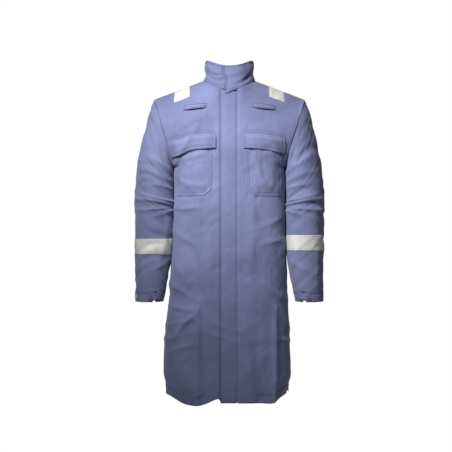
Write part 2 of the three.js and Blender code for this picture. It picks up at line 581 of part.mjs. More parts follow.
/** The care label sewn on the outside of the right cuff. */
function addCuffLabel() {
  const middle = SLEEVE_LENGTH - CUFF_BAND / 2;
  const rows = [middle - LABEL_HEIGHT / 2, middle + LABEL_HEIGHT / 2];
  const spread = (LABEL_WIDTH / 2 / CUFF_HALF_DEPTH) * (180 / Math.PI);
  const lift = CLOTH + LAYER_GAP;
  const label = sleevePatch(-1, steps(75 - spread, 75 + spread, 4), rows, lift, lift + PATCH);
  addPiece("cuff_label", label, white);
}

addTorso();
addClosure();
addCollar();
addHangerLoop();
for (const [label, side] of SIDES) {
  addPocket(label, side);
  addPocketFlap(label, side);
  addDeviceLoop(label, side);
  addShoulderTape(label, side);
  addSlitWelt(label, side);
  addSleeve(label, side);
}
addCuffLabel();

export default coat;
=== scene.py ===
"""A long-sleeved welder's work coat in blue twill, hung full and closed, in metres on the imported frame."""
import logging
import math
from dataclasses import dataclass, field
from enum import Enum
from typing import Callable, Sequence

import bpy
import numpy as np
from mathutils import Euler, Matrix, Vector


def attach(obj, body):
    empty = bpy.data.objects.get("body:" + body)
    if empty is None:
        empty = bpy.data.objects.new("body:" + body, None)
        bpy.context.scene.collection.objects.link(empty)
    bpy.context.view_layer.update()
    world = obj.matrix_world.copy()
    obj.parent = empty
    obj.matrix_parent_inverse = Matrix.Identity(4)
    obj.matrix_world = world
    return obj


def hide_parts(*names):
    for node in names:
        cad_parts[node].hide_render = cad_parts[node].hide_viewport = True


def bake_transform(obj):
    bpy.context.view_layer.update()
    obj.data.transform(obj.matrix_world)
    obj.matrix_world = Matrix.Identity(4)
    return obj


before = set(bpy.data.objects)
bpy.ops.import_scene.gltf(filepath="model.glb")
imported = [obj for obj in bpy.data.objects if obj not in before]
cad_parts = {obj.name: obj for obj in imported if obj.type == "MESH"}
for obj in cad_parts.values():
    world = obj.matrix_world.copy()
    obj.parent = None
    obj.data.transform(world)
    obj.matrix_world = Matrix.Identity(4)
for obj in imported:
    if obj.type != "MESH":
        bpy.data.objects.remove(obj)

LOG = logging.getLogger("coat")
MM = 0.001
Array = np.ndarray
Lift = Array | float
Socket = bpy.types.NodeSocket
Place = tuple[float, float, float]


# --- Small maths ---------------------------------------------------------------------------------


def mix(a: Array | float, b: Array | float, share: Array | float) -> Array | float:
    """Blend from a to b."""
    return a + (b - a) * share


def ease(value: Array | float, low: float, high: float) -> Array:
    """Rise smoothly from 0 at low to 1 at high."""
    share = np.clip((np.asarray(value, float) - low) / (high - low), 0.0, 1.0)
    return share * share * (3.0 - 2.0 * share)


def edge_lines(length: float, step: float) -> Array:
    """Space grid lines along a sewn piece, close together where its edges are stitched.

    Args:
        length: the piece's length in metres.
        step: the spacing wanted in its middle, in metres.

    Returns:
        Places from 0 to length.
    """
    near = np.array([0.0, 0.7, 1.6, 2.6, 4.0, 6.0, 7.4, 8.4, 10.0]) * MM
    if length < 3.2 * near[-1]:
        return np.linspace(0.0, length, max(3, int(length / (1.5 * MM))))
    inner = np.linspace(near[-1], length - near[-1], max(2, int((length - 2 * near[-1]) / step) + 1))
    return np.concatenate([near[:-1], inner, (length - near[:-1])[::-1]])


def edge_shares(length: float, step: float) -> Array:
    """The same lines as edge_lines, as shares of the length."""
    return edge_lines(length, step) / length


@dataclass(frozen=True)
class Fold:
    """A ridge or hollow in the cloth, along a bowed line between two places on the flat pattern (mm)."""

    start: tuple[float, float]
    end: tuple[float, float]
    height: float
    width: float
    bow: float = 0.0
    lean: float = 0.0

    def relief(self, across: Array, up: Array) -> Array:
        """Measure the fold's height at pattern places.

        Args:
            across: places across the pattern, in metres.
            up: places up the pattern, in metres.

        Returns:
            The lift in metres.
        """
        start = np.array(self.start) * MM
        along = np.array(self.end) * MM - start
        length = float(np.hypot(*along))
        unit = along / length
        dx, dz = across - start[0], up - start[1]
        share = np.clip((dx * unit[0] + dz * unit[1]) / length, -0.35, 1.35)
        inside = np.clip(share, 0.0, 1.0)
        aside = dx * -unit[1] + dz * unit[0] - self.bow * MM * 4.0 * inside * (1.0 - inside)
        beyond = np.maximum(np.abs(share - 0.5) - 0.5, 0.0) * length
        width = self.width * MM
        taper = np.exp(-((beyond / (1.6 * width)) ** 2))
        taper = taper * (0.35 + 0.65 * np.sin(np.pi * mix(0.08, 0.92, inside)))
        slope = 1.0 + self.lean * np.tanh(aside / width)
        return self.height * MM * slope * np.exp(-(np.abs(aside / width) ** 1.6)) * taper


def crumple(across: Array, up: Array, seed: int, wave: float, height: float, stretch: float = 1.0) -> Array:
    """Sum soft waves in many directions into an uneven surface.

    Args:
        across: places across the pattern, in metres.
        up: places up the pattern, in metres.
        seed: which pattern of waves to draw.
        wave: the usual distance between crests, in metres.
        height: the usual lift of a crest, in metres.
        stretch: how much longer the waves are upward than across.

    Returns:
        The lift in metres.
    """
    draw = np.random.default_rng(seed)
    total = np.zeros_like(across)
    bend_a = 0.35 * wave * np.sin(across * 2.1 / wave + up * 1.3 / wave + draw.uniform(0, 6.3))
    bend_b = 0.35 * wave * np.sin(up * 1.7 / wave - across * 1.1 / wave + draw.uniform(0, 6.3))
    for _ in range(14):
        angle = draw.uniform(0, math.pi)
        rate = 2.0 * math.pi / (wave * draw.uniform(0.7, 1.8))
        phase = draw.uniform(0, 2.0 * math.pi)
        ahead = (across + bend_a) * math.cos(angle) + (up + bend_b) * math.sin(angle) / stretch
        total += np.sin(rate * ahead + phase)
    total /= math.sqrt(14.0)
    return height * (total - 0.35 * np.abs(total))


# --- Finishes ------------------------------------------------------------------------------------


class Slot(Enum):
    """The record's material slots."""

    COAT = "coat_cloth"
    INNER = "inner_cloth"
    TAPE = "reflective_tape"
    GRIP = "hook_and_loop"
    SNAP = "snap_metal"
    LABEL = "label_cloth"


class NodeSheet:
    """A material's node tree, with short ways to add and join nodes."""

    def __init__(self, name: str) -> None:
        """Make an empty material with an output and a Principled shader."""
        self.material = bpy.data.materials.new(name)
        self.material.use_nodes = True
        self.tree = self.material.node_tree
        self.tree.nodes.clear()
        self.shader = self.add("ShaderNodeBsdfPrincipled")
        output = self.add("ShaderNodeOutputMaterial")
        self.join(self.shader.outputs["BSDF"], output.inputs["Surface"])

    def add(self, kind: str, **settings: object) -> bpy.types.Node:
        """Add a node.

        Args:
            kind: the node's type name.
            settings: attributes of the node to set.

        Returns:
            The node.
        """
        node = self.tree.nodes.new(kind)
        for key, value in settings.items():
            setattr(node, key, value)
        return node

    def join(self, source: Socket, target: Socket) -> None:
        """Join an output to an input."""
        self.tree.links.new(source, target)

    def noise(self, vector: Socket, scale: float, detail: float) -> Socket:
        """Add a noise pattern.

        Args:
            vector: the coordinates that it reads.
            scale: its scale per metre.
            detail: how many finer layers it has.

        Returns:
            Its value socket.
        """
        node = self.add("ShaderNodeTexNoise")
        node.inputs["Scale"].default_value = scale
        node.inputs["Detail"].default_value = detail
        self.join(vector, node.inputs["Vector"])
        return node.outputs["Fac"]

    def ramp(self, value: Socket, stops: Sequence[tuple[float, Sequence[float]]]) -> Socket:
        """Turn a value into colours.

        Args:
            value: the value from 0 to 1.
            stops: place and colour of each stop.

        Returns:
            The colour socket.
        """
        node = self.add("ShaderNodeValToRGB")
        elements = node.color_ramp.elements
        while len(elements) < len(stops):
            elements.new(0.5)
        for element, (place, colour) in zip(elements, stops):
            element.position = place
            element.color = (*colour, 1.0)
        self.join(value, node.inputs["Fac"])
        return node.outputs["Color"]

    def blend(self, kind: str, share: float, low: Socket, high: Socket) -> Socket:
        """Mix two colours.

        Args:
            kind: the blend type.
            share: how much of the second colour is used.
            low: the first colour.
            high: the second colour.

        Returns:
            The mixed colour socket.
        """
        node = self.add("ShaderNodeMix", data_type="RGBA", blend_type=kind)
        node.inputs["Factor"].default_value = share
        self.join(low, node.inputs["A"])
        self.join(high, node.inputs["B"])
        return node.outputs["Result"]

    def bump(self, height: Socket, strength: float, distance: float,
             under: Socket | None = None) -> Socket:
        """Add a bump layer.

        Args:
            height: the height pattern.
            strength: the bump's strength.
            distance: the height of a full step, in metres.
            under: the normal of the layer below.

        Returns:
            The normal socket.
        """
        node = self.add("ShaderNodeBump")
        node.inputs["Strength"].default_value = strength
        node.inputs["Distance"].default_value = distance
        self.join(height, node.inputs["Height"])
        if under is not None:
            self.join(under, node.inputs["Normal"])
        return node.outputs["Normal"]

    def stripes(self, vector: Socket, pitch: float, turn: float) -> Socket:
        """Add straight bands.

        Args:
            vector: the coordinates, in metres.
            pitch: the distance between bands, in metres.
            turn: the bands' angle in degrees.

        Returns:
            The bands' value socket.
        """
        mapping = self.add("ShaderNodeMapping")
        mapping.inputs["Rotation"].default_value = (0.0, 0.0, math.radians(turn))
        self.join(vector, mapping.inputs["Vector"])
        wave = self.add("ShaderNodeTexWave")
        wave.inputs["Scale"].default_value = 2.0 * math.pi / 20.0 / pitch
        wave.inputs["Distortion"].default_value = 0.6
        wave.inputs["Detail Scale"].default_value = 2.0
        self.join(mapping.outputs["Vector"], wave.inputs["Vector"])
        return wave.outputs["Fac"]


@dataclass(frozen=True)
class TwillFinish:
    """Blue cotton twill: a slanting rib, uneven dye, and lint."""

    name: str
    colour: tuple[float, float, float]
    rib_pitch: float = 1.5 * MM
    rib_height: float = 0.25 * MM
    roughness: float = 0.86
    sheen: float = 0.22

    def make(self) -> bpy.types.Material:
        """Build the material."""
        sheet = NodeSheet(self.name)
        place = sheet.add("ShaderNodeTexCoord")
        flat, solid = place.outputs["UV"], place.outputs["Object"]
        dark = tuple(0.86 * c for c in self.colour)
        light = tuple(min(1.0, 1.1 * c) for c in self.colour)
        cloudy = sheet.ramp(sheet.noise(solid, 9.0, 3.0), [(0.32, dark), (0.68, light)])
        lint = sheet.ramp(sheet.noise(flat, 900.0, 2.0), [(0.35, (0.86,) * 3), (0.65, (1.1,) * 3)])
        rib = sheet.stripes(flat, self.rib_pitch, 58.0)
        ribs = sheet.ramp(rib, [(0.2, (0.9, 0.9, 0.92)), (0.8, (1.05, 1.05, 1.05))])
        colour = sheet.blend("MULTIPLY", 0.8, cloudy, lint)
        colour = sheet.blend("MULTIPLY", 0.8, colour, ribs)
        sheet.join(colour, sheet.shader.inputs["Base Color"])
        slub = sheet.bump(sheet.noise(flat, 420.0, 3.0), 0.35, 0.3 * MM)
        soft = sheet.bump(sheet.noise(solid, 46.0, 4.0), 0.5, 1.1 * MM, slub)
        sheet.join(sheet.bump(rib, 0.4, self.rib_height, soft), sheet.shader.inputs["Normal"])
        sheet.shader.inputs["Roughness"].default_value = self.roughness
        sheet.shader.inputs["Sheen Weight"].default_value = self.sheen
        sheet.shader.inputs["Sheen Roughness"].default_value = 0.5
        sheet.shader.inputs["Specular IOR Level"].default_value = 0.25
        return sheet.material


@dataclass(frozen=True)
class TapeFinish:
    """Retroreflective tape: a pale satin face with a fine beaded grain and faint scuffs."""

    name: str
    colour: tuple[float, float, float]
    bead_pitch: float = 1.1 * MM

    def make(self) -> bpy.types.Material:
        """Build the material."""
        sheet = NodeSheet(self.name)
        place = sheet.add("ShaderNodeTexCoord")
        flat, solid = place.outputs["UV"], place.outputs["Object"]
        cells = sheet.add("ShaderNodeTexVoronoi", feature="F1")
        cells.inputs["Scale"].default_value = 1.0 / self.bead_pitch
        sheet.join(flat, cells.inputs["Vector"])
        scuffs = sheet.noise(solid, 30.0, 5.0)
        dark = tuple(0.84 * c for c in self.colour)
        worn = sheet.ramp(scuffs, [(0.3, dark), (0.62, self.colour)])
        grain = sheet.ramp(cells.outputs["Distance"], [(0.0, (1.04,) * 3), (0.8, (0.92,) * 3)])
        sheet.join(sheet.blend("MULTIPLY", 0.7, worn, grain), sheet.shader.inputs["Base Color"])
        rough = sheet.ramp(scuffs, [(0.3, (0.42,) * 3), (0.7, (0.58,) * 3)])
        sheet.join(rough, sheet.shader.inputs["Roughness"])
        waves = sheet.bump(sheet.noise(solid, 60.0, 2.0), 0.4, 0.8 * MM)
        dents = sheet.bump(cells.outputs["Distance"], 0.3, 0.12 * MM, waves)
        sheet.join(dents, sheet.shader.inputs["Normal"])
        sheet.shader.inputs["Sheen Weight"].default_value = 0.1
        return sheet.material


@dataclass(frozen=True)
class ThreadFinish:
    """Twisted sewing thread."""

    name: str
    colour: tuple[float, float, float]

    def make(self) -> bpy.types.Material:
        """Build the material."""
        sheet = NodeSheet(self.name)
        solid = sheet.add("ShaderNodeTexCoord").outputs["Object"]
        dark = tuple(0.7 * c for c in self.colour)
        twist = sheet.noise(solid, 1400.0, 2.0)
        sheet.join(sheet.ramp(twist, [(0.35, dark), (0.65, self.colour)]), sheet.shader.inputs["Base Color"])
        sheet.join(sheet.bump(twist, 0.5, 0.1 * MM), sheet.shader.inputs["Normal"])
        sheet.shader.inputs["Roughness"].default_value = 0.6
        return sheet.material


@dataclass(frozen=True)
class GripFinish:
    """Hook-and-loop tape: a dark, matted pile."""

    name: str
    colour: tuple[float, float, float]

    def make(self) -> bpy.types.Material:
        """Build the material."""
        sheet = NodeSheet(self.name)
        solid = sheet.add("ShaderNodeTexCoord").outputs["Object"]
        pile = sheet.noise(solid, 1100.0, 4.0)
        dark = tuple(0.4 * c for c in self.colour)
        sheet.join(sheet.ramp(pile, [(0.35, dark), (0.7, self.colour)]), sheet.shader.inputs["Base Color"])
        sheet.join(sheet.bump(pile, 0.9, 0.6 * MM), sheet.shader.inputs["Normal"])
        sheet.shader.inputs["Roughness"].default_value = 0.95
        return sheet.material


@dataclass(frozen=True)
class PressedMetalFinish:
    """Dull pressed metal of the snaps, a little uneven and rubbed."""

    name: str
    colour: tuple[float, float, float]

    def make(self) -> bpy.types.Material:
        """Build the material."""
        sheet = NodeSheet(self.name)
        solid = sheet.add("ShaderNodeTexCoord").outputs["Object"]
        rub = sheet.noise(solid, 240.0, 4.0)
        dark = tuple(0.6 * c for c in self.colour)
        sheet.join(sheet.ramp(rub, [(0.3, dark), (0.7, self.colour)]), sheet.shader.inputs["Base Color"])
        sheet.join(sheet.ramp(rub, [(0.3, (0.5,) * 3), (0.7, (0.28,) * 3)]), sheet.shader.inputs["Roughness"])
        sheet.join(sheet.bump(rub, 0.2, 0.1 * MM), sheet.shader.inputs["Normal"])
        sheet.shader.inputs["Metallic"].default_value = 1.0
        return sheet.material


class Finishes:
    """Every finish of the coat, made once."""

    def __init__(self) -> None:
        """Make the materials."""
        self.coat = TwillFinish("coat_twill", (0.148, 0.168, 0.304)).make()
        self.inner = TwillFinish("inner_twill", (0.125, 0.148, 0.29), roughness=0.9).make()
        self.tape = TapeFinish("reflective_tape", (0.6, 0.59, 0.56)).make()
        self.grip = GripFinish("hook_and_loop", (0.07, 0.09, 0.18)).make()
        self.snap = PressedMetalFinish("snap_metal", (0.55, 0.49, 0.36)).make()
        self.label = TwillFinish("label_cloth", (0.8, 0.8, 0.78), rib_pitch=0.8 * MM, sheen=0.05).make()
        # Coat thread: real sewing thread that is partly painted shade. It is darker than the cloth so the
        # stitch rows draw the dark shade lines along stitched grooves.
        self.thread = ThreadFinish("coat_thread_dark_for_seam_shade", (0.035, 0.042, 0.1)).make()
        self.tape_thread = ThreadFinish("tape_thread", (0.5, 0.49, 0.46)).make()

    def of(self, slot: Slot) -> bpy.types.Material:
        """Give the material of a record slot."""
        return {Slot.COAT: self.coat, Slot.INNER: self.inner, Slot.TAPE: self.tape, Slot.GRIP: self.grip,
                Slot.SNAP: self.snap, Slot.LABEL: self.label}[slot]


# --- The coat's curved forms ---------------------------------------------------------------------


class Face(Enum):
    """Front or back of the coat, with the sign of its Y direction."""

    FRONT = -1
    BACK = 1


@dataclass
class TorsoForm:
    """The worn shape of the coat's body, with its folds. Depths are measured from the shoulder ridge."""

    hem: float = 1.02
    neck_half_width: float = 0.083
    neck_depth: dict[Face, float] = field(default_factory=lambda: {Face.FRONT: 0.078, Face.BACK: 0.075})
    neck_drop: dict[Face, float] = field(default_factory=lambda: {Face.FRONT: 0.027, Face.BACK: 0.0})
    neck_side_rise: float = 0.012
    shoulder: tuple[float, float] = (0.246, 0.05)
    shoulder_round: float = 0.12
    armpit: tuple[float, float] = (0.178, 0.268)
    armhole_half_depth: float = 0.072
    waist_drop: float = 0.45
    rib_ease: float = 3.5 * MM
    hem_half_width: float = 0.214
    hem_front_depth: float = 0.128
    back_depth: float = 0.118
    back_round: float = 0.2
    power: float = 2.6
    ridge_y: float = -0.085
    skin: float = 1.8 * MM
    hem_turn: float = 30.0 * MM
    hem_sway: float = 9.0 * MM
    corner_tuck: float = 16.0 * MM
    lean: float = 8.0 * MM
    flap_step: float = 4.5 * MM
    fold_gain: float = 1.55
    folds: dict[Face, list[Fold]] = field(default_factory=dict)

    def ridge(self, x: Array) -> Array:
        """Height of the shoulder ridge at x."""
        slope = (self.shoulder[1] + self.neck_side_rise) / (self.shoulder[0] - self.neck_half_width)
        return slope * (self.neck_half_width - np.abs(x)) + self.neck_side_rise

    def top(self, face: Face, x: Array) -> Array:
        """Height of the upper edge at x: the neck seam, then the ridge."""
        share = np.clip(np.abs(x) / self.neck_half_width, 0.0, 1.0)
        neck = mix(-self.neck_drop[face], self.neck_side_rise, share**2)
        return np.where(share < 1.0, neck, self.ridge(x))

    def half_width(self, z: Array, share: Array) -> Array:
        """Half the body's width at height z, or at a share of the armhole's height."""
        flare = np.clip((-self.waist_drop - z) / (self.hem - self.waist_drop), 0.0, 1.0)
        low = mix(self.armpit[0] + self.rib_ease * ease(-z, self.armpit[1], self.armpit[1] + 0.06),
                  self.hem_half_width, flare**1.2)
        return np.where(share > 0.0, mix(self.armpit[0], self.shoulder[0], share), low)

    def middle_depth(self, face: Face, z: Array) -> Array:
        """Depth of the cloth at the middle of the front or back."""
        if face is Face.FRONT:
            drop = (-self.neck_drop[face] - z) / (self.hem - self.neck_drop[face])
            return mix(self.neck_depth[face], self.hem_front_depth, drop)
        fall = np.sin(np.clip(-z / self.back_round, 0.0, 1.0) * math.pi / 2.0)
        return mix(self.neck_depth[face], self.back_depth, fall)

    def share_up(self, face: Face, x: Array, z: Array) -> Array:
        """Share of the way up from the armpit to the upper edge."""
        return np.clip((z + self.armpit[1]) / (self.top(face, x) + self.armpit[1]), 0.0, 1.0)

    def bare(self, face: Face, x: Array, z: Array) -> Array:
        """Find points of the smooth form.

        Args:
            face: front or back.
            x: places across.
            z: heights.

        Returns:
            Points, with the last axis of length 3.
        """
        share = self.share_up(face, x, z)
        across = np.clip(np.abs(x) / self.half_width(z, share), 0.0, 1.0)
        section = (1.0 - across**self.power) ** (1.0 / self.power)
        below = np.clip((self.ridge(x) - z) / self.shoulder_round, 0.0, 1.0)
        rounding = np.sqrt(1.0 - (1.0 - below) ** 2)
        near = ease(np.abs(x), self.neck_half_width / 3.0, self.neck_half_width)
        hole = self.armhole_half_depth * np.sqrt(np.maximum(0.0, 1.0 - (2.0 * share - 1.0) ** 2))
        hole = np.where((share > 0.0) & (share < 1.0), hole, 0.0)
        soft = self.armhole_half_depth * np.sin(math.pi * share) ** 2
        hole = mix(soft, hole, across**9)
        full = self.middle_depth(face, z) * mix(1.0, rounding, near)
        y = self.ridge_y + face.value * (hole + (full - hole) * section)
        return np.stack([x, y, z], axis=-1)

    def sunk(self, x: Array) -> Array:
        """Lift (negative) of the right front, which runs in under the placket flap."""
        return -self.flap_step * ease(x, -34.0 * MM, -27.0 * MM)

    def relief(self, face: Face, x: Array, z: Array) -> Array:
        """Height of the folds and wrinkles at pattern places.

        Args:
            face: front or back.
            x: places across.
            z: heights.

        Returns:
            The lift in metres.
        """
        seed = 5 if face is Face.FRONT else 9
        lower = ease(-z, 0.15, 0.75)
        total = crumple(x, z, seed, 0.085, 1.7 * MM, 2.4) * mix(0.55, 1.6, lower)
        total += crumple(x, z, seed + 1, 0.034, 0.55 * MM, 1.5)
        for fold in self.folds.get(face, []):
            total += self.fold_gain * fold.relief(x, z)
        calm = mix(0.25, 1.0, ease(np.abs(x), 0.008, 0.05)) if face is Face.FRONT else 1.0
        below_seam = ease(self.top(face, x) - z, 0.0, 0.03)
        rise = z + self.hem
        turned = 0.7 * MM * (1.0 - ease(rise, self.hem_turn - MM, self.hem_turn + MM))
        pull = np.exp(-(((rise - self.hem_turn) / (9.0 * MM)) ** 2))
        pucker = 0.5 * MM * pull * np.sin(x / (2.3 * MM) + 1.7 * np.sin(x / (11.0 * MM)))
        return total * calm * below_seam + turned + pucker

    def on_row(self, face: Face, girth: Array, row: Array) -> tuple[Array, Array]:
        """Turn girth shares (-1 to 1) and rows (-1 hem, 0 armpit, 1 upper edge) into x and z."""
        bend = np.sign(girth) * np.sin(np.abs(girth) * math.pi / 2.0) ** (2.0 / self.power)
        low_z = mix(-self.armpit[1], -self.hem, np.clip(-row, 0.0, 1.0))
        x = bend * self.half_width(low_z, np.clip(row, 0.0, 1.0))
        high_z = mix(-self.armpit[1], self.top(face, x), np.clip(row, 0.0, 1.0))
        return x, np.where(row > 0.0, high_z, low_z)

    def girth(self, x: Array, row: Array) -> Array:
        """Girth share of a place x across, in a row."""
        low_z = mix(-self.armpit[1], -self.hem, np.clip(-row, 0.0, 1.0))
        half = self.half_width(low_z, np.clip(row, 0.0, 1.0))
        bend = np.clip(np.abs(x) / half, 0.0, 1.0)
        return np.sign(x) * np.arcsin(bend ** (self.power / 2.0)) / (math.pi / 2.0)

    def row(self, drop: float) -> float:
        """Row of a height below the armpit."""
        return -(drop - self.armpit[1]) / (self.hem - self.armpit[1])

    def normals(self, face: Face, girth: Array, row: Array) -> Array:
        """Directions square to the smooth form at girth shares and rows.

        Args:
            face: front or back.
            girth: girth shares.
            row: rows.

        Returns:
            Unit directions.
        """
        step = 0.004
        u = np.clip(girth, -0.992, 0.992)
        v = np.clip(row, -0.99, 0.992)
        v = np.where(np.abs(v) < step, np.sign(v + 1e-9) * step, v)
        right, left, high, low = (self.bare(face, *self.on_row(face, u + a * step, v + b * step))
                                  for a, b in ((1, 0), (-1, 0), (0, 1), (0, -1)))
        ahead, above = right - left, high - low
        normal = -face.value * np.cross(ahead, above)
        normal = normal / np.maximum(np.linalg.norm(normal, axis=-1, keepdims=True), 1e-12)
        slope = (self.shoulder[1] + self.neck_side_rise) / (self.shoulder[0] - self.neck_half_width)
        x, _ = self.on_row(face, girth, row)
        ridge = np.stack([np.sign(x) * slope, np.zeros_like(x), np.ones_like(x)], axis=-1)
        ridge = ridge / math.hypot(slope, 1.0)
        past_neck = ease(np.abs(x), self.neck_half_width - 0.004, self.neck_half_width + 0.012)
        on_ridge = ease(row, 0.93, 1.0) * past_neck
        normal = mix(normal, ridge, on_ridge[..., None])
        side = np.stack([np.sign(girth), np.zeros_like(x), np.zeros_like(x)], axis=-1)
        on_side = ease(np.abs(girth), 0.94, 1.0) * (1.0 - ease(row, -0.02, 0.04))
        normal = mix(normal, side, on_side[..., None])
        return normal / np.maximum(np.linalg.norm(normal, axis=-1, keepdims=True), 1e-12)

    def at(self, face: Face, girth: Array, row: Array, lift: Lift = 0.0, smooth: float = 0.0) -> Array:
        """Find points of the folded cloth.

        Args:
            face: front or back.
            girth: girth shares.
            row: rows.
            lift: distance out from the coat's outer skin, in metres.
            smooth: share of the folds that is pressed flat.

        Returns:
            Points, with the last axis of length 3.
        """
        x, z = self.on_row(face, girth, row)
        folds = self.relief(face, x, z) * (1.0 - smooth)
        point = self.bare(face, x, z)
        if face is Face.FRONT:
            low = ease(-z, 0.8, self.hem)
            lobe = np.exp(-(((x + 0.105) / 0.042) ** 2)) + 0.45 * np.exp(-(((x - 0.14) / 0.03) ** 2))
            rise = np.exp(-(((x + 0.03) / 0.034) ** 2)) * ease(-x, 27.0 * MM, 33.0 * MM)
            point[..., 2] -= self.hem_sway * low * (lobe - 1.6 * rise)
        side = np.sign(x) * self.corner_tuck
        point[..., 0] -= side * ease(-z, self.hem - 0.09, self.hem) * ease(np.abs(x), 0.13, 0.205)
        point[..., 2] += np.abs(side) * ease(-z, self.hem - 0.1, self.hem) * ease(np.abs(x), 0.13, 0.21)
        point[..., 0] -= self.lean * ease(-z, 0.5, 0.9) * ease(np.abs(x), 0.05, 0.18)
        return point + self.normals(face, girth, row) * (self.skin + folds + lift)[..., None]

    def over(self, face: Face, x: Array, z: Array, lift: Lift = 0.0, smooth: float = 0.0) -> Array:
        """Find points of the folded cloth at places across and up, as for at."""
        limit = self.top(face, x)
        share = np.clip((z + self.armpit[1]) / (limit + self.armpit[1]), -1.0, 1.0)
        row = np.where(z > -self.armpit[1], share, (z + self.armpit[1]) / (self.hem - self.armpit[1]))
        return self.at(face, self.girth(x, row), np.clip(row, -1.0, 1.0), lift + np.zeros_like(x), smooth)

    def sewn(self, face: Face, x: Array, z: Array, lift: Lift = 0.0) -> tuple[Array, Array]:
        """Points of a seam on the cloth, and the same points a little above it."""
        return self.over(face, x, z, lift), self.over(face, x, z, lift + MM)

    def sewn_round(self, face: Face, girth: Array, row: Array, lift: float = 0.0) -> tuple[Array, Array]:
        """The same as sewn, at girth shares and rows."""
        return self.at(face, girth, row, lift), self.at(face, girth, row, lift + MM)


@dataclass
class SleeveForm:
    """The worn shape of one sleeve: rings that turn from the armhole to lie level at the elbow."""

    side: int
    torso: TorsoForm
    length: float = 0.655
    flare: float = 0.058
    taper: float = 0.005
    elbow: float = 0.362
    forearm: float = 0.455
    standoff: float = 0.003
    head: float = 0.004
    wrist_inset: float = 0.032
    cuff_half_depth: float = 0.051
    forward: float = 0.027
    skin: float = 1.8 * MM
    tuck: float = 1.5 * MM
    fold_gain: float = 1.6
    folds: list[Fold] = field(default_factory=list)

    def rings(self, drop: Array) -> tuple[Array, Array, Array, Array, Array, Array]:
        """Outer x and z, inner x and z, half-depth and y of the rings."""
        torso = self.torso
        underarm = torso.armpit[1] - torso.shoulder[1]
        upper_share = np.clip(drop, -0.05, None) / self.elbow
        inner_drop = np.where(drop < self.elbow, mix(underarm, self.elbow, upper_share), drop)
        bend = np.sin(np.clip(drop / self.elbow, -0.2, 1.0) * math.pi / 2.0)
        taper = self.taper * np.clip((drop - self.elbow) / (self.length - self.elbow), 0.0, 1.0)
        forearm = np.clip((inner_drop - self.forearm) / (self.length - self.forearm), 0.0, 1.1)
        upper = np.clip((inner_drop - underarm) / (self.forearm - underarm), 0.0, 1.0)
        grow = ease(drop, 0.0, 0.03) * self.head
        share = np.clip(drop / self.length, 0.0, 1.1)
        outer_x = torso.shoulder[0] + grow + self.flare * bend - taper
        inner_x = torso.armpit[0] + grow + self.standoff * upper + self.wrist_inset * forearm**1.5
        half = mix(torso.armhole_half_depth, self.cuff_half_depth, share**1.4)
        y = torso.ridge_y - self.forward * share**1.3
        return outer_x, -torso.shoulder[1] - drop, inner_x, -torso.shoulder[1] - inner_drop, half, y

    def bare(self, angle: Array, drop: Array) -> Array:
        """Find points of the smooth sleeve.

        Args:
            angle: degrees round from the front, 90 at the outer line.
            drop: distance of the ring's outer line below the shoulder tip.

        Returns:
            Points, with the last axis of length 3.
        """
        outer_x, outer_z, inner_x, inner_z, half, y = self.rings(drop)
        turn = np.radians(angle)
        share = (1.0 + np.sin(turn)) / 2.0
        x = self.side * mix(inner_x, outer_x, share)
        return np.stack([x, y - half * np.cos(turn), mix(inner_z, outer_z, share)], axis=-1)

    def relief(self, angle: Array, drop: Array) -> Array:
        """Height of the folds and wrinkles, on a pattern of 1 mm for each degree.

        Args:
            angle: degrees round the sleeve.
            drop: distances down it.

        Returns:
            The lift in metres.
        """
        across = (angle + 180.0) % 360.0 - 180.0
        seed = 21 if self.side > 0 else 31
        wrap = np.radians(across)
        total = crumple(0.06 * np.sin(wrap), drop + 0.06 * np.cos(wrap), seed, 0.075, 1.7 * MM, 0.8)
        total += crumple(0.06 * np.cos(wrap), drop + 0.05 * np.sin(wrap), seed + 1, 0.032, 0.6 * MM)
        for fold in self.folds:
            for lap in (-360.0, 0.0, 360.0):
                total += self.fold_gain * fold.relief((across + lap) * MM, drop)
        calm = 1.0 - 0.75 * np.exp(-(((across + 90.0) / 48.0) ** 2)) * (1.0 - ease(drop, 0.17, 0.33))
        near_cuff = mix(1.0, 0.3, ease(drop, self.length - 0.05, self.length - 0.03))
        return total * calm * ease(drop, 0.004, 0.035) * near_cuff

    def at(self, angle: Array, drop: Array, lift: Lift = 0.0, smooth: float = 0.0) -> Array:
        """Find points of the folded sleeve, as for TorsoForm.at.

        Args:
            angle: degrees round the sleeve.
            drop: distances down it.
            lift: distance out from the sleeve's outer skin.
            smooth: share of the folds that is pressed flat.

        Returns:
            Points, with the last axis of length 3.
        """
        held = np.maximum(drop, 2.0 * MM)
        ahead = self.bare(angle + 1.0, held) - self.bare(angle - 1.0, held)
        along = self.bare(angle, held + MM) - self.bare(angle, held - MM)
        normal = np.cross(ahead, along) * self.side
        normal /= np.maximum(np.linalg.norm(normal, axis=-1, keepdims=True), 1e-12)
        folds = self.relief(angle, drop) * (1.0 - smooth)
        tucked = self.tuck * (1.0 - ease(drop, 0.0, 5.0 * MM))
        return self.bare(angle, drop) + normal * -(self.skin + folds + lift - tucked)[..., None]

    def sewn(self, angle: Array, drop: Array, lift: Lift = 0.0) -> tuple[Array, Array]:
        """Points of a seam on the sleeve, and the same points a little above it."""
        return self.at(angle, drop, lift), self.at(angle, drop, lift + MM)


# --- Making pieces -------------------------------------------------------------------------------


def deselect() -> None:
    """Leave nothing selected and no object active."""
    bpy.ops.object.select_all(action="DESELECT")
    bpy.context.view_layer.objects.active = None


def apply_modifiers(piece: bpy.types.Object) -> None:
    """Apply every modifier of a piece, in order."""
    deselect()
    piece.select_set(True)
    bpy.context.view_layer.objects.active = piece
    for modifier in list(piece.modifiers):
        bpy.ops.object.modifier_apply(modifier=modifier.name)
    deselect()


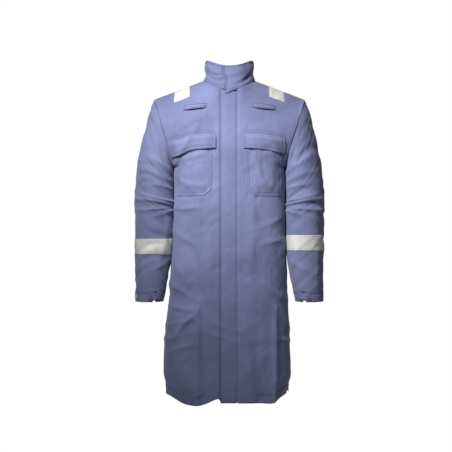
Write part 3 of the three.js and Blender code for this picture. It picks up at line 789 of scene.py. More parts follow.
def trail(corners: Sequence[tuple[float, float]], step: float = 3.0 * MM) -> tuple[Array, Array]:
    """Walk along the straight stretches between corners.

    Args:
        corners: the corners, in metres.
        step: the distance between points, in metres.

    Returns:
        The two coordinates of the points.
    """
    points = np.array(corners, float)
    walked = []
    for a, b in zip(points[:-1], points[1:]):
        count = max(2, int(float(np.hypot(*(b - a))) / step))
        walked.append(a + (b - a) * np.linspace(0.0, 1.0, count, endpoint=False)[:, None])
    every = np.concatenate([*walked, points[-1:]])
    return every[:, 0], every[:, 1]


def pressed(distance: Array, seams: Sequence[float]) -> Array:
    """Find how far stitching pulls the cloth down near an edge.

    Args:
        distance: distances from the edge, in metres.
        seams: the stitch rows' distances from the edge, in metres.

    Returns:
        The (negative) lift in metres.
    """
    dip = np.zeros_like(distance)
    for seam in seams:
        dip -= 0.85 * MM * np.exp(-(((distance - seam) / (1.6 * MM)) ** 2))
    return dip


@dataclass
class Grid:
    """A sheet of cloth as rows of points with its flat pattern's coordinates, in metres."""

    points: Array
    flat: Array
    ring: bool = False

    @classmethod
    def measured(cls, points: Array, ring: bool = False) -> "Grid":
        """Make a grid whose flat pattern is measured along its own rows and columns."""
        flat = np.zeros((*points.shape[:2], 2))
        flat[:, 1:, 0] = np.cumsum(np.linalg.norm(np.diff(points, axis=1), axis=-1), axis=1)
        flat[1:, :, 1] = np.cumsum(np.linalg.norm(np.diff(points, axis=0), axis=-1), axis=0)
        flat[..., 0] -= flat[:, points.shape[1] // 2, 0][:, None]
        return cls(points, flat, ring)

    def mesh(self, name: str, outward: Array) -> bpy.types.Mesh:
        """Build the one-layer mesh.

        Args:
            name: the mesh's name.
            outward: the direction that its middle faces.

        Returns:
            The mesh, with a UV map in metres of cloth.
        """
        rows, columns = self.points.shape[:2]
        last = columns if self.ring else columns - 1
        i, j = np.meshgrid(np.arange(last), np.arange(rows - 1), indexing="xy")
        i, j = i.ravel(), j.ravel()
        right = (i + 1) % columns
        low, high = j * columns, (j + 1) * columns
        faces = np.stack([low + i, low + right, high + right, high + i], 1)
        flat = self.flat
        if self.ring:
            closing = flat[:, :1] + (flat[:, -1:] - flat[:, :1]) * columns / (columns - 1)
            flat = np.concatenate([flat, closing], axis=1)
        uv = np.stack([flat[j, i], flat[j, i + 1], flat[j + 1, i + 1], flat[j + 1, i]], 1)
        middle = (rows // 2) * last + last // 2
        corners = self.points.reshape(-1, 3)[faces[min(middle, len(faces) - 1)]]
        facing = np.cross(corners[2] - corners[0], corners[3] - corners[1])
        if float(facing @ outward) < 0.0:
            faces, uv = faces[:, ::-1], uv[:, ::-1]
        mesh = bpy.data.meshes.new(name)
        mesh.from_pydata(self.points.reshape(-1, 3).tolist(), [], faces.tolist())
        layer = mesh.uv_layers.new(name="cloth")
        layer.data.foreach_set("uv", uv.reshape(-1).astype(np.float32))
        mesh.shade_smooth()
        return mesh


@dataclass
class Placing:
    """What a piece is to the rest: its CAD nodes, its body, its finish and what it lies on."""

    nodes: tuple[str, ...]
    body: str
    slot: Slot
    rests_on: tuple[str, ...] = ()
    blend: tuple[str, Place, Place] | None = None

    def fix(self, piece: bpy.types.Object) -> None:
        """Fix a finished piece to its body, or bake its transform in place when it has a blend, and let it
        stand for its CAD nodes.
        """
        if self.blend:
            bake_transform(piece)
        else:
            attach(piece, self.body)
        if self.nodes:
            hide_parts(*self.nodes)
        LOG.info("%s: %d faces on %s", piece.name, len(piece.data.polygons), self.body)


def add_object(name: str, mesh: bpy.types.Mesh, material: bpy.types.Material) -> bpy.types.Object:
    """Put a mesh in the scene as an object with one material."""
    piece = bpy.data.objects.new(name, mesh)
    bpy.context.collection.objects.link(piece)
    mesh.materials.clear()
    mesh.materials.append(material)
    return piece


def make_sheet(name: str, grid: Grid, outward: Sequence[float], thickness: float,
               material: bpy.types.Material, placing: Placing) -> bpy.types.Object:
    """Args:
        name: the piece's name.
        grid: its outer side.
        outward: the direction that its middle faces.
        thickness: the cloth's thickness in metres.
        material: its finish.
        placing: where it belongs.

    Returns:
        The piece.
    """
    piece = add_object(name, grid.mesh(name, np.array(outward, float)), material)
    wall = piece.modifiers.new("thickness", "SOLIDIFY")
    wall.thickness = thickness
    wall.offset = -1.0
    wall.use_rim = True
    apply_modifiers(piece)
    placing.fix(piece)
    return piece


class SnapHalf:
    """A pressed snap half, modelled once at unit radius and copied to each place."""

    def __init__(self, material: bpy.types.Material, rim: float = 0.3, dish: float = 0.35) -> None:
        """Model the first disc: a rolled rim, a dish and a raised middle."""
        deselect()
        bpy.ops.mesh.primitive_cylinder_add(vertices=32, radius=1.0, depth=1.0, location=(0.0, 0.0, 0.0))
        first = bpy.context.active_object
        bpy.ops.object.mode_set(mode="EDIT")
        bpy.ops.mesh.select_mode(type="FACE")
        bpy.ops.mesh.select_all(action="DESELECT")
        bpy.ops.object.mode_set(mode="OBJECT")
        for polygon in first.data.polygons:
            polygon.select = polygon.normal.z > 0.9
        bpy.ops.object.mode_set(mode="EDIT")
        bpy.ops.mesh.inset(thickness=rim)
        bpy.ops.transform.translate(value=(0.0, 0.0, -dish))
        bpy.ops.mesh.inset(thickness=rim)
        bpy.ops.transform.translate(value=(0.0, 0.0, 0.8 * dish))
        bpy.ops.object.mode_set(mode="OBJECT")
        rounding = first.modifiers.new("rounding", "BEVEL")
        rounding.width = 0.12
        rounding.segments = 2
        rounding.limit_method = "ANGLE"
        apply_modifiers(first)
        first.data.shade_smooth()
        self.mesh = first.data.copy()
        self.material = material
        bpy.data.objects.remove(first, do_unlink=True)

    def set(self, name: str, low: Array, high: Array, radius: float, placing: Placing) -> None:
        """Copy the disc to lie between two points on its axis.

        Args:
            name: the piece's name.
            low: the middle of its under side.
            high: the middle of its upper side.
            radius: its radius in metres.
            placing: where it belongs.
        """
        axis = Vector((high - low).tolist())
        turn = Vector((0.0, 0.0, 1.0)).rotation_difference(axis).to_matrix().to_4x4()
        grow = Matrix.Diagonal((radius, radius, axis.length, 1.0))
        mesh = self.mesh.copy()
        mesh.transform(Matrix.Translation(Vector(((low + high) / 2.0).tolist())) @ turn @ grow)
        piece = add_object(name, mesh, self.material)
        placing.fix(piece)


@dataclass
class Stitching:
    """Rows of stitches of one thread on one body, gathered into one mesh."""

    name: str
    material: bpy.types.Material
    placing: Placing
    length: float = 2.7 * MM
    gap: float = 1.0 * MM
    width: float = 1.15 * MM
    height: float = 0.4 * MM
    taper: float = 0.28
    blocks: list[Array] = field(default_factory=list)

    def run(self, line: Array, above: Array) -> None:
        """Sew along a line.

        Args:
            line: points along the seam, on the cloth.
            above: the same points a little off the cloth.
        """
        steps = np.linalg.norm(np.diff(line, axis=0), axis=1)
        walked = np.concatenate([[0.0], np.cumsum(steps)])
        count = int(walked[-1] / (self.length + self.gap))
        if count < 2:
            return
        pitch = walked[-1] / count
        begin = np.arange(count) * pitch + 0.5 * self.gap
        up = above - line
        up /= np.maximum(np.linalg.norm(up, axis=1, keepdims=True), 1e-9)

        def along(values: Array, places: Array) -> Array:
            """Read points or directions at distances along the seam."""
            return np.stack([np.interp(places, walked, values[:, k]) for k in range(3)], axis=1)

        ends = (along(line, begin), along(line, begin + pitch - self.gap))
        lift = along(up, begin + pitch / 2.0)
        forward = ends[1] - ends[0]
        forward /= np.maximum(np.linalg.norm(forward, axis=1, keepdims=True), 1e-9)
        side = np.cross(lift, forward)
        corners = []
        for base, inward in ((ends[0], 1.0), (ends[1], -1.0)):
            sunk = base - lift * 0.1 * MM
            top = base + lift * self.height + forward * inward * 0.25 * MM
            corners += [sunk - side * 0.5 * self.width, sunk + side * 0.5 * self.width,
                        top + side * self.taper * self.width, top - side * self.taper * self.width]
        self.blocks.append(np.stack(corners, axis=1).reshape(-1, 3))

    def finish(self) -> None:
        """Build the stitches' mesh and place it."""
        points = np.concatenate(self.blocks)
        block = np.array([[3, 2, 1, 0], [4, 5, 6, 7], [1, 5, 4, 0], [2, 6, 5, 1], [3, 7, 6, 2], [0, 4, 7, 3]])
        faces = (np.arange(len(points) // 8)[:, None, None] * 8 + block[None]).reshape(-1, 4)
        mesh = bpy.data.meshes.new(self.name)
        mesh.from_pydata(points.tolist(), [], faces.tolist())
        self.placing.fix(add_object(self.name, mesh, self.material))


# --- Body of the coat ----------------------------------------------------------------------------

FRONT_FOLDS = [
    Fold((-98, -700), (-99, -1040), 5.5, 9.0, lean=0.7),
    Fold((-97, -372), (-97, -640), 1.8, 8.0),
    Fold((152, -728), (154, -1040), 6.0, 10.0, lean=-0.7),
    Fold((205, -835), (163, -822), 2.8, 8.0),
    Fold((-205, -832), (-160, -815), 3.0, 8.0),
    Fold((-163, -818), (-102, -738), 3.6, 9.0, bow=5.0, lean=0.5),
    Fold((-205, -719), (-102, -725), 2.6, 8.0, bow=-3.0),
    Fold((-189, -783), (-118, -757), 2.6, 7.0),
    Fold((-179, -866), (-102, -834), 2.4, 8.0, bow=3.0),
    Fold((-176, -402), (-104, -403), 3.0, 8.0, bow=-4.0),
    Fold((-190, -560), (-130, -640), 2.4, 12.0),
    Fold((-200, -650), (-120, -690), 2.2, 10.0, bow=5.0),
    Fold((157, -732), (199, -800), 3.4, 9.0),
    Fold((118, -650), (186, -700), 2.6, 10.0, bow=-4.0),
    Fold((60, -640), (150, -745), 2.2, 13.0),
    Fold((70, -900), (140, -1000), 2.0, 16.0),
    Fold((-60, -768), (46, -800), 1.7, 7.0),
    Fold((-72, -800), (34, -833), 1.8, 7.0, lean=0.5),
    Fold((-66, -350), (22, -322), 1.0, 6.0),
    Fold((-172, -258), (-108, -150), 2.4, 10.0),
    Fold((-176, -300), (-60, -390), 1.6, 12.0),
    Fold((174, -262), (112, -148), 2.6, 10.0),
    Fold((178, -420), (96, -470), 2.2, 11.0, bow=4.0),
    Fold((184, -500), (110, -520), 2.4, 10.0),
    Fold((-184, -470), (-110, -520), 2.4, 10.0, bow=-4.0),
    Fold((-60, -480), (-58, -700), 1.6, 14.0),
    Fold((74, -400), (66, -640), 1.8, 15.0),
    Fold((-50, -880), (-56, -1040), 2.0, 13.0),
    Fold((62, -880), (76, -1040), 2.4, 14.0),
    Fold((-80, -110), (-160, -150), 1.4, 9.0),
]
BACK_FOLDS = [
    Fold((-70, -300), (-96, -1040), 5.0, 20.0),
    Fold((80, -320), (104, -1040), 5.0, 20.0),
    Fold((6, -420), (-8, -1040), 4.0, 22.0),
    Fold((-150, -700), (-160, -1040), 4.0, 16.0),
    Fold((150, -640), (160, -1040), 4.0, 16.0),
    Fold((-172, -268), (-60, -330), 3.0, 12.0, bow=6.0),
    Fold((172, -272), (60, -340), 3.0, 12.0, bow=-6.0),
    Fold((-170, -330), (-80, -420), 2.4, 12.0),
    Fold((176, -350), (70, -430), 2.4, 12.0),
    Fold((-120, -520), (40, -560), 2.2, 12.0, bow=6.0),
    Fold((-30, -600), (130, -570), 2.0, 11.0, bow=-5.0),
    Fold((-190, -780), (-90, -830), 2.6, 10.0),
    Fold((196, -760), (100, -820), 2.6, 10.0),
]


@dataclass
class BodyPanels:
    """The two fronts, the back and its yoke, with their seams."""

    form: TorsoForm
    finishes: Finishes
    placket_edge: float = 26.6 * MM
    near_share: float = 0.22
    underlap: float = 20.0 * MM
    slit: tuple[float, float] = (0.552, 0.609)
    slit_share: float = 0.93
    yoke_drop: float = 0.17
    spacing: float = 4.3 * MM
    thickness: float = 1.5 * MM
    twin: tuple[float, float] = (2.0 * MM, 8.0 * MM)

    def rows(self, low: float = -1.0, high: float = 1.0) -> Array:
        """Rows of the body's grid between two rows."""
        lower = int((self.form.hem - self.form.armpit[1]) / self.spacing)
        upper = int(self.form.armpit[1] / self.spacing)
        every = np.concatenate([np.linspace(-1.0, 0.0, lower, endpoint=False), np.linspace(0.0, 1.0, upper)])
        inside = every[(every > low + 0.004) & (every < high - 0.004)]
        return np.concatenate([[low], inside, [high]])

    def panel(self, face: Face, rows: Array, start: Callable[[Array], Array], end: Callable[[Array], Array],
              shares: Array, lift: Callable[[Array], Array] = np.zeros_like) -> Grid:
        """Grid a panel between two girth shares that may change from row to row.

        Args:
            face: front or back.
            rows: its rows.
            start: girth share of its first edge in a row.
            end: girth share of its last edge in a row.
            shares: shares between the two edges.
            lift: distance out at places across.

        Returns:
            The grid.
        """
        share, row = np.meshgrid(shares, rows)
        girth = mix(start(row), end(row), share)
        return Grid.measured(self.form.at(face, girth, row, lift(self.form.on_row(face, girth, row)[0])))

    def side_edge(self, row: Array) -> Array:
        """Girth share of a front's side edge, which runs in at the slit."""
        top, bottom = self.form.row(self.slit[0]), self.form.row(self.slit[1])
        inside = ease(row, bottom - 0.006, bottom + 0.006) * (1.0 - ease(row, top - 0.006, top + 0.006))
        return mix(np.ones_like(row), self.slit_share, inside)

    def build(self) -> None:
        """Make the four panels."""
        cloth, form = self.finishes.coat, self.form
        rows = self.rows()
        across = int(form.hem_half_width * 1.35 / self.spacing)
        even = np.linspace(0.0, 1.0, across)
        near = np.linspace(0.0, self.near_share, 28, endpoint=False)
        left = self.panel(Face.FRONT, rows, lambda v: form.girth(self.placket_edge + 0.0 * v, v),
                          self.side_edge, even)
        right = self.panel(Face.FRONT, rows, lambda v: form.girth(self.underlap + 0.0 * v, v),
                           lambda v: -self.side_edge(v),
                           np.append(near, mix(self.near_share, 1.0, even)), form.sunk)
        back_seam = ("back_panel_cloth",)
        body = "coat_body"
        yoke_row = (form.armpit[1] - self.yoke_drop) / form.armpit[1]
        back = self.panel(Face.BACK, self.rows(-1.0, yoke_row + 0.03), lambda v: -np.ones_like(v),
                          lambda v: np.ones_like(v), np.linspace(0.0, 1.0, 2 * across))
        yoke = self.panel(Face.BACK, self.rows(yoke_row, 1.0), lambda v: -np.ones_like(v),
                          lambda v: np.ones_like(v), np.linspace(0.0, 1.0, 2 * across),
                          lambda x: MM + 0.0 * x)
        make_sheet("back_panel_cloth", back, (0, 1, 0), self.thickness, cloth,
                   Placing(("back_panel",), body, Slot.COAT, ("hanger_loop",)))
        make_sheet("back_yoke_cloth", yoke, (0, 1, 0), self.thickness, cloth,
                   Placing(("back_yoke",), body, Slot.COAT, back_seam))
        make_sheet("front_left_cloth", left, (0, -1, 0), self.thickness, cloth,
                   Placing(("front_left",), body, Slot.COAT, back_seam))
        make_sheet("front_right_cloth", right, (0, -1, 0), self.thickness, cloth,
                   Placing(("front_right",), body, Slot.COAT, back_seam))

    def sew(self, thread: Stitching) -> None:
        """Sew the hem, the side seams, the shoulder seams, the armholes, the yoke and the slits' tacks."""
        form = self.form
        for face in Face:
            for rise in (form.hem_turn, form.hem_turn - 6.0 * MM):
                girth = np.linspace(-0.99, 0.99, 260)
                if face is Face.FRONT:
                    parts = [girth[girth > 0.14], girth[girth < -0.17]]
                else:
                    parts = [girth]
                for part in parts:
                    row = np.full_like(part, form.row(form.hem - rise))
                    thread.run(*form.sewn_round(face, part, row))
        for side in (-1, 1):
            for inset in (0.985, 0.955):
                below, above = form.row(self.slit[1]) - 0.01, form.row(self.slit[0]) + 0.01
                for low, high in ((-0.99, below), (above, -0.01)):
                    row = np.linspace(low, high, int((high - low) * 260) + 4)
                    thread.run(*form.sewn_round(Face.FRONT, np.full_like(row, side * inset), row))
            self.sew_shoulder(thread, side)
            self.tack_slit(thread, side)
        yoke_row = (form.armpit[1] - self.yoke_drop) / form.armpit[1]
        for drop in self.twin:
            girth = np.linspace(-0.985, 0.985, 200)
            row = np.full_like(girth, yoke_row + drop / form.armpit[1])
            thread.run(*form.sewn_round(Face.BACK, girth, row, 1.0 * MM))

    def sew_shoulder(self, thread: Stitching, side: int) -> None:
        """Sew one shoulder seam and the topstitching round its armhole."""
        form = self.form
        for drop in (3.0 * MM, 9.0 * MM):
            x = side * np.linspace(form.neck_half_width + 6.0 * MM, form.shoulder[0] - 10.0 * MM, 60)
            thread.run(*form.sewn(Face.FRONT, x, form.ridge(x) - drop))
        for face in Face:
            lift = 1.0 * MM if face is Face.BACK else 0.0
            for inset in (0.982, 0.95):
                row = np.linspace(0.03, 0.965, 90)
                thread.run(*form.sewn_round(face, np.full_like(row, side * inset), row, lift))

    def tack_slit(self, thread: Stitching, side: int) -> None:
        """Sew a dense bar tack above and below one side slit."""
        form = self.form
        for drop in (self.slit[0] - 8.0 * MM, self.slit[1] + 8.0 * MM):
            for k in range(5):
                row = np.full(8, form.row(drop + k * 0.8 * MM))
                girth = side * np.linspace(0.93, 0.98, 8)
                thread.run(*form.sewn_round(Face.FRONT, girth, row, 0.3 * MM))


@dataclass
class SlitWelts:
    """The narrow bands that face the side slits."""

    body: BodyPanels
    width_share: float = 0.055
    margin: float = 3.0 * MM
    lift: float = 1.0 * MM

    def build(self, thread: Stitching) -> None:
        """Make both welts."""
        form = self.body.form
        low = form.row(self.body.slit[1] + self.margin)
        high = form.row(self.body.slit[0] - self.margin)
        for label, side in (("left", 1), ("right", -1)):
            share, row = np.meshgrid(np.linspace(0.0, 1.0, 9), np.linspace(low, high, 22))
            girth = side * (self.body.slit_share - 0.004 - self.width_share * share)
            lift = self.lift + pressed(share * 11.0 * MM, (0.002,))
            grid = Grid.measured(form.at(Face.FRONT, girth, row, lift))
            make_sheet(f"slit_welt_{label}_cloth", grid, (side * 0.5, -1, 0), 1.2 * MM,
                       self.body.finishes.coat,
                       Placing((f"slit_welt_{label}",), "coat_body", Slot.COAT,
                               (f"front_{label}_cloth",)))
            edge = np.linspace(low + 0.003, high - 0.003, 22)
            start = np.full_like(edge, side * (self.body.slit_share - 0.012))
            thread.run(*form.sewn_round(Face.FRONT, start, edge, self.lift))


# --- Front closure -------------------------------------------------------------------------------


@dataclass
class FrontClosure:
    """The fly with its snaps, and the placket flap that covers them."""

    form: TorsoForm
    finishes: Finishes
    half_width: float = 27.0 * MM
    underlap: float = 20.0 * MM
    top_drop: float = 31.0 * MM
    fly_lift: float = -2.2 * MM
    fly_reach: float = 13.0 * MM
    seam_lift: float = 0.1 * MM
    placket_lift: float = 2.8 * MM
    snap_count: int = 7
    snap_pitch: float = 130.0 * MM
    first_snap_rise: float = 85.0 * MM
    cap_radius: float = 7.0 * MM
    stud_radius: float = 5.5 * MM
    stud_lift: float = -7.9 * MM
    snap_height: float = 1.2 * MM
    bulge: float = 1.5 * MM

    def snap_height_at(self, index: int) -> float:
        """Height of a snap, counted from the hem."""
        return -self.form.hem + self.first_snap_rise + index * self.snap_pitch

    def flap_lift(self, x: Array, z: Array) -> Array:
        """Lift of the placket flap: held at its seam, drawn in at the snaps, bowed out between them."""
        free = ease(self.half_width - x, 0.0, 1.7 * self.half_width)
        phase = (z - self.snap_height_at(0)) / self.snap_pitch
        between = self.bulge * free * (0.5 - 0.5 * np.cos(2.0 * math.pi * phase))
        across = np.minimum(x + self.half_width, self.half_width - x)
        bumps = np.zeros_like(x)
        for index in range(self.snap_count):
            away = np.hypot(x + 4.0 * MM, z - self.snap_height_at(index))
            bumps += 0.7 * MM * np.exp(-((away / (7.5 * MM)) ** 4))
        wave = 0.5 * MM * np.sin(z / (31.0 * MM) + 2.0 * np.sin(z / (87.0 * MM))) * free
        base = mix(self.seam_lift, self.placket_lift, free)
        return base + between + bumps + wave + pressed(across, (2.0 * MM,))

    def build(self, thread: Stitching, snap: SnapHalf) -> None:
        """Make the fly, the flap, the snaps and the flap's seams."""
        form = self.form
        z = np.linspace(-form.hem + 2.0 * MM, -self.top_drop, 300)
        fly_x, fly_z = np.meshgrid(np.linspace(-self.underlap, self.fly_reach, 12), z[::2])
        fly = Grid.measured(form.over(Face.FRONT, fly_x, fly_z, self.fly_lift))
        make_sheet("inner_fly_cloth", fly, (0, -1, 0), 1.2 * MM, self.finishes.inner,
                   Placing(("inner_fly",), "coat_body", Slot.INNER, ("front_left_cloth",)))
        x = edge_lines(2.0 * self.half_width, 3.4 * MM) - self.half_width
        flap_x, flap_z = np.meshgrid(x, z)
        flap = Grid.measured(form.over(Face.FRONT, flap_x, flap_z, self.flap_lift(flap_x, flap_z)))
        make_sheet("placket_flap_cloth", flap, (0, -1, 0), 1.8 * MM, self.finishes.coat,
                   Placing(("placket_flap",), "placket", Slot.COAT, ("inner_fly_cloth",)))
        for edge in (2.0 * MM - self.half_width, self.half_width - 2.0 * MM, self.half_width - 8.0 * MM):
            line_x = np.full(300, edge)
            thread.run(*form.sewn(Face.FRONT, line_x, z, self.flap_lift(line_x, z)))
        for index in range(self.snap_count):
            self.place_snap(snap, index)

    def place_snap(self, snap: SnapHalf, index: int) -> None:
        """Set one snap's cap on the fly and its stud behind the right front."""
        spot = (np.zeros(1), np.full(1, self.snap_height_at(index)))
        for kind, lift, radius in (("cap", self.fly_lift + 0.2 * MM, self.cap_radius),
                                   ("stud", self.stud_lift, self.stud_radius)):
            low = self.form.over(Face.FRONT, *spot, lift)[0]
            high = self.form.over(Face.FRONT, *spot, lift + self.snap_height)[0]
            node = f"snap_{kind}_{index + 1}"
            snap.set(f"{node}_metal", low, high, radius, Placing((node,), "coat_body", Slot.SNAP))


# --- Collar --------------------------------------------------------------------------------------

COLLAR_FOLDS = [
    Fold((-88, 58), (-30, 50), 5.0, 6.0, bow=-9.0),
    Fold((-72, 34), (-20, 42), 4.4, 5.0, bow=-8.0, lean=0.4),
    Fold((-52, 16), (-14, 26), 3.4, 4.5, bow=-4.0),
    Fold((-110, 20), (-70, 62), 1.8, 8.0),
    Fold((8, 26), (88, 44), 3.4, 8.0, bow=-4.0),
    Fold((60, 66), (110, 40), 1.8, 9.0),
    Fold((30, 20), (92, 14), 1.2, 6.0),
    Fold((130, 20), (170, 60), 1.8, 9.0),
    Fold((-170, 55), (-120, 25), 1.8, 9.0),
    Fold((190, 30), (240, 50), 1.6, 9.0),
]


@dataclass
class Collar:
    """The stand collar, its lining, the end that laps over at the front, and its grip patches."""

    form: TorsoForm
    finishes: Finishes
    front_height: float = 80.0 * MM
    side_height: float = 64.0 * MM
    back_height: float = 62.0 * MM
    lean: float = 6.0 * MM
    pinch: float = 5.0 * MM
    groove: float = 4.0 * MM
    rise: float = 1.0 * MM
    left_end: float = 48.0
    under_end: float = 10.0
    flap_lift: float = 5.0 * MM
    skin: float = 1.8 * MM
    degree: float = 1.4 * MM
    roll: float = 1.6 * MM

    def height(self, angle: Array) -> Array:
        """Height of the collar at degrees round the neck from the centre front."""
        forward = np.cos(np.radians(angle))
        return np.where(forward > 0.0, mix(self.side_height, self.front_height, forward),
                        mix(self.side_height, self.back_height, -forward))

    def at(self, angle: Array, share: Array, lift: Lift = 0.0, smooth: float = 0.0) -> Array:
        """Find points of the collar.

        Args:
            angle: degrees round the neck from the centre front.
            share: shares of the height.
            lift: distance out from the collar's outer skin.
            smooth: share of the wrinkles that is pressed flat.

        Returns:
            Points, with the last axis of length 3.
        """
        form = self.form
        turn = np.radians(angle)
        forward = np.cos(turn)
        height = self.height(angle)
        across = ((angle + 180.0) % 360.0 - 180.0) * self.degree
        up = share * height
        folds = crumple(across, up, 44, 0.05, 1.2 * MM) * ease(share, 0.0, 0.25)
        for fold in COLLAR_FOLDS:
            for lap in (-360.0, 0.0, 360.0):
                folds += fold.relief(across + lap * self.degree, up)
        waist = self.pinch * np.sin(math.pi * np.clip(share / 0.75, 0.0, 1.0)) ** 2
        edge = (angle + 180.0) % 360.0 - 180.0 - self.free_edge(share)
        under = ease(edge, -6.0, -1.0) * (np.abs(angle) > 180.0)
        stand = self.skin + lift - self.groove * under + folds * (1.0 - smooth)
        stand = stand - self.lean * np.clip(share, 0.0, 1.0) - waist
        half_x = form.neck_half_width + stand
        half_y = np.where(forward > 0.0, form.neck_depth[Face.FRONT], form.neck_depth[Face.BACK]) + stand
        side = form.neck_half_width * np.sin(turn) * 0.999
        seam = np.where(forward > 0.0, form.top(Face.FRONT, side), form.top(Face.BACK, side))
        z = seam + self.rise + share * (height - self.rise)
        return np.stack([half_x * np.sin(turn), form.ridge_y - half_y * forward, z], axis=-1)

    def sewn(self, angle: Array, share: Array, lift: Lift = 0.0) -> tuple[Array, Array]:
        """Points of a seam on the collar, and the same points a little outside it."""
        return self.at(angle, share, lift), self.at(angle, share, lift + MM)

    def band(self, first: float, last: float, lift: float, columns: int) -> Grid:
        """Grid a stretch of the collar whose top edge rolls inward."""
        rows = np.linspace(0.0, 0.985, 24)
        turn = np.linspace(0.15, 1.0, 5) * math.pi / 2.0
        share = np.concatenate([rows, 0.985 + self.roll * np.sin(turn) / self.front_height])
        inward = np.concatenate([np.zeros_like(rows), -self.roll * (1.0 - np.cos(turn))])
        angle, up = np.meshgrid(np.linspace(first, last, columns), share)
        thin = pressed(up * self.side_height, (0.003, 0.009))
        thin = thin + pressed((0.985 - up) * self.side_height, (0.007,))
        return Grid.measured(self.at(angle, up, lift + inward[:, None] + thin))

    def free_edge(self, share: Array) -> Array:
        """Angle of the lapping end's free edge at a share of the height."""
        return np.interp(share, (-0.16, 0.08, 0.42, 0.65, 1.0), (-9.5, -6.5, -5.5, -11.5, -14.5))

    def flap_at(self, across: Array, up: Array, lift: Lift = 0.0) -> Array:
        """Find points of the lapping end at shares from its seam to its free edge, and up."""
        dip = -0.17 * ease(across, 0.6, 1.0) ** 1.4
        share = mix(dip, np.full_like(up, 0.995), up)
        angle = mix(np.full_like(up, self.left_end + 1.5), self.free_edge(share), across)
        proud = self.flap_lift * ease(across, 0.0, 0.45)
        return self.at(angle, share, proud + lift)

    def build(self, thread: Stitching, flap_thread: Stitching) -> None:
        """Make the collar's pieces and their seams."""
        coat, body = self.finishes.coat, "coat_body"
        around = 360.0 + self.under_end
        main = self.band(self.left_end, around, 0.0, 150)
        make_sheet("collar_cloth", main, (0, 1, 0), 1.5 * MM, coat,
                   Placing(("collar",), body, Slot.COAT, ("back_yoke_cloth",)))
        turns = np.linspace(self.left_end - 10.0, around, 130)
        angle, share = np.meshgrid(turns, np.linspace(0.02, 0.985, 18))
        lining = Grid.measured(self.at(angle, share, -self.skin - 0.4 * MM))
        make_sheet("collar_lining_cloth", lining, (0, 1, 0), 1.3 * MM, self.finishes.inner,
                   Placing(("collar_lining",), body, Slot.INNER, ("collar_cloth",)))
        across, up = np.meshgrid(edge_shares(0.1, 3.0 * MM), edge_shares(0.08, 3.0 * MM))
        dips = pressed((1.0 - across) * 0.1, (0.003,)) + pressed(up * 0.08, (0.003,))
        dips = dips + pressed((1.0 - up) * 0.08, (0.004,))
        flap = Grid.measured(self.flap_at(across, up, dips))
        make_sheet("collar_flap_cloth", flap, (0, -1, 0), 2.2 * MM, coat,
                   Placing(("collar_flap",), "collar_closure", Slot.COAT, ("collar_cloth",)))
        self.sew(thread, flap_thread)
        self.add_patches()

    def sew(self, thread: Stitching, flap_thread: Stitching) -> None:
        """Sew round the collar's edges and the lapping end's."""
        around = np.linspace(self.left_end, 360.0 + self.under_end, 260)
        for share in (0.04, 0.125, 0.915):
            thread.run(*self.sewn(around, np.full_like(around, share)))
        run = np.linspace(0.0, 1.0, 60)
        for inset in (0.03, 0.1):
            paths = [(run * (1.0 - inset), np.full_like(run, inset)),
                     (np.full_like(run, 1.0 - inset), mix(inset, 1.0 - inset, run)),
                     (run * (1.0 - inset), np.full_like(run, 1.0 - inset))]
            for path_across, path_up in paths if inset < 0.05 else paths[:1]:
                flap_thread.run(self.flap_at(path_across, path_up), self.flap_at(path_across, path_up, MM))

    def add_patches(self) -> None:
        """Add the hook and loop patches between the collar's two ends."""
        angle, share = np.meshgrid(np.linspace(-6.0, self.under_end - 2.0, 12), np.linspace(0.35, 0.75, 12))
        for kind, body, lift in (("loop", "coat_body", 0.9 * MM), ("hook", "collar_closure", 1.7 * MM)):
            grid = Grid.measured(self.at(angle, share, lift))
            make_sheet(f"collar_{kind}_grip", grid, (0, -1, 0), 0.6 * MM, self.finishes.grip,
                       Placing((f"collar_{kind}_patch",), body, Slot.GRIP, ("collar_cloth",)))


@dataclass
class NeckTrims:
    """The label inside the collar and the loop that the coat hangs by."""

    collar: Collar
    finishes: Finishes
    half_length: float = 34.0 * MM
    stand: float = 11.0 * MM
    strip: float = 8.0 * MM
    strip_thickness: float = 1.8 * MM

    def build(self, thread: Stitching) -> None:
        """Make the label and the loop."""
        angle, share = np.meshgrid(np.linspace(162.0, 198.0, 14), np.linspace(0.25, 0.7, 12))
        label = Grid.measured(self.collar.at(angle, share, -self.collar.skin - 2.2 * MM))
        make_sheet("neck_label_cloth", label, (0, -1, 0), 0.5 * MM, self.finishes.label,
                   Placing(("neck_label",), "coat_body", Slot.LABEL, ("collar_lining_cloth",)))
        along, up = np.meshgrid(np.linspace(0.0, 1.0, 40), np.linspace(-0.5, 0.5, 7))
        bow = np.sin(math.pi * along)
        crown = 0.5 * MM * (1.0 - (2.0 * up) ** 4)
        y = -0.003 + self.stand * bow + crown
        x, z = mix(-self.half_length, self.half_length, along), up * self.strip - 1.5 * MM * bow
        points = np.stack([x, y, z], axis=-1)
        name = "hanger_loop_cloth"
        strip = Grid.measured(points).mesh(name, np.array([0.0, 1.0, 0.0]))
        piece = add_object(name, strip, self.finishes.coat)
        wall = piece.modifiers.new("thickness", "SOLIDIFY")
        wall.thickness = self.strip_thickness
        wall.offset = -1.0
        apply_modifiers(piece)
        Placing(("hanger_loop",), "coat_body", Slot.COAT).fix(piece)
        for height in (-0.33, 0.33):
            line = points[3] + np.array([0.0, 0.0, height * self.strip])
            thread.run(line, line + np.array([0.0, MM, 0.0]))


# --- Chest pockets -------------------------------------------------------------------------------


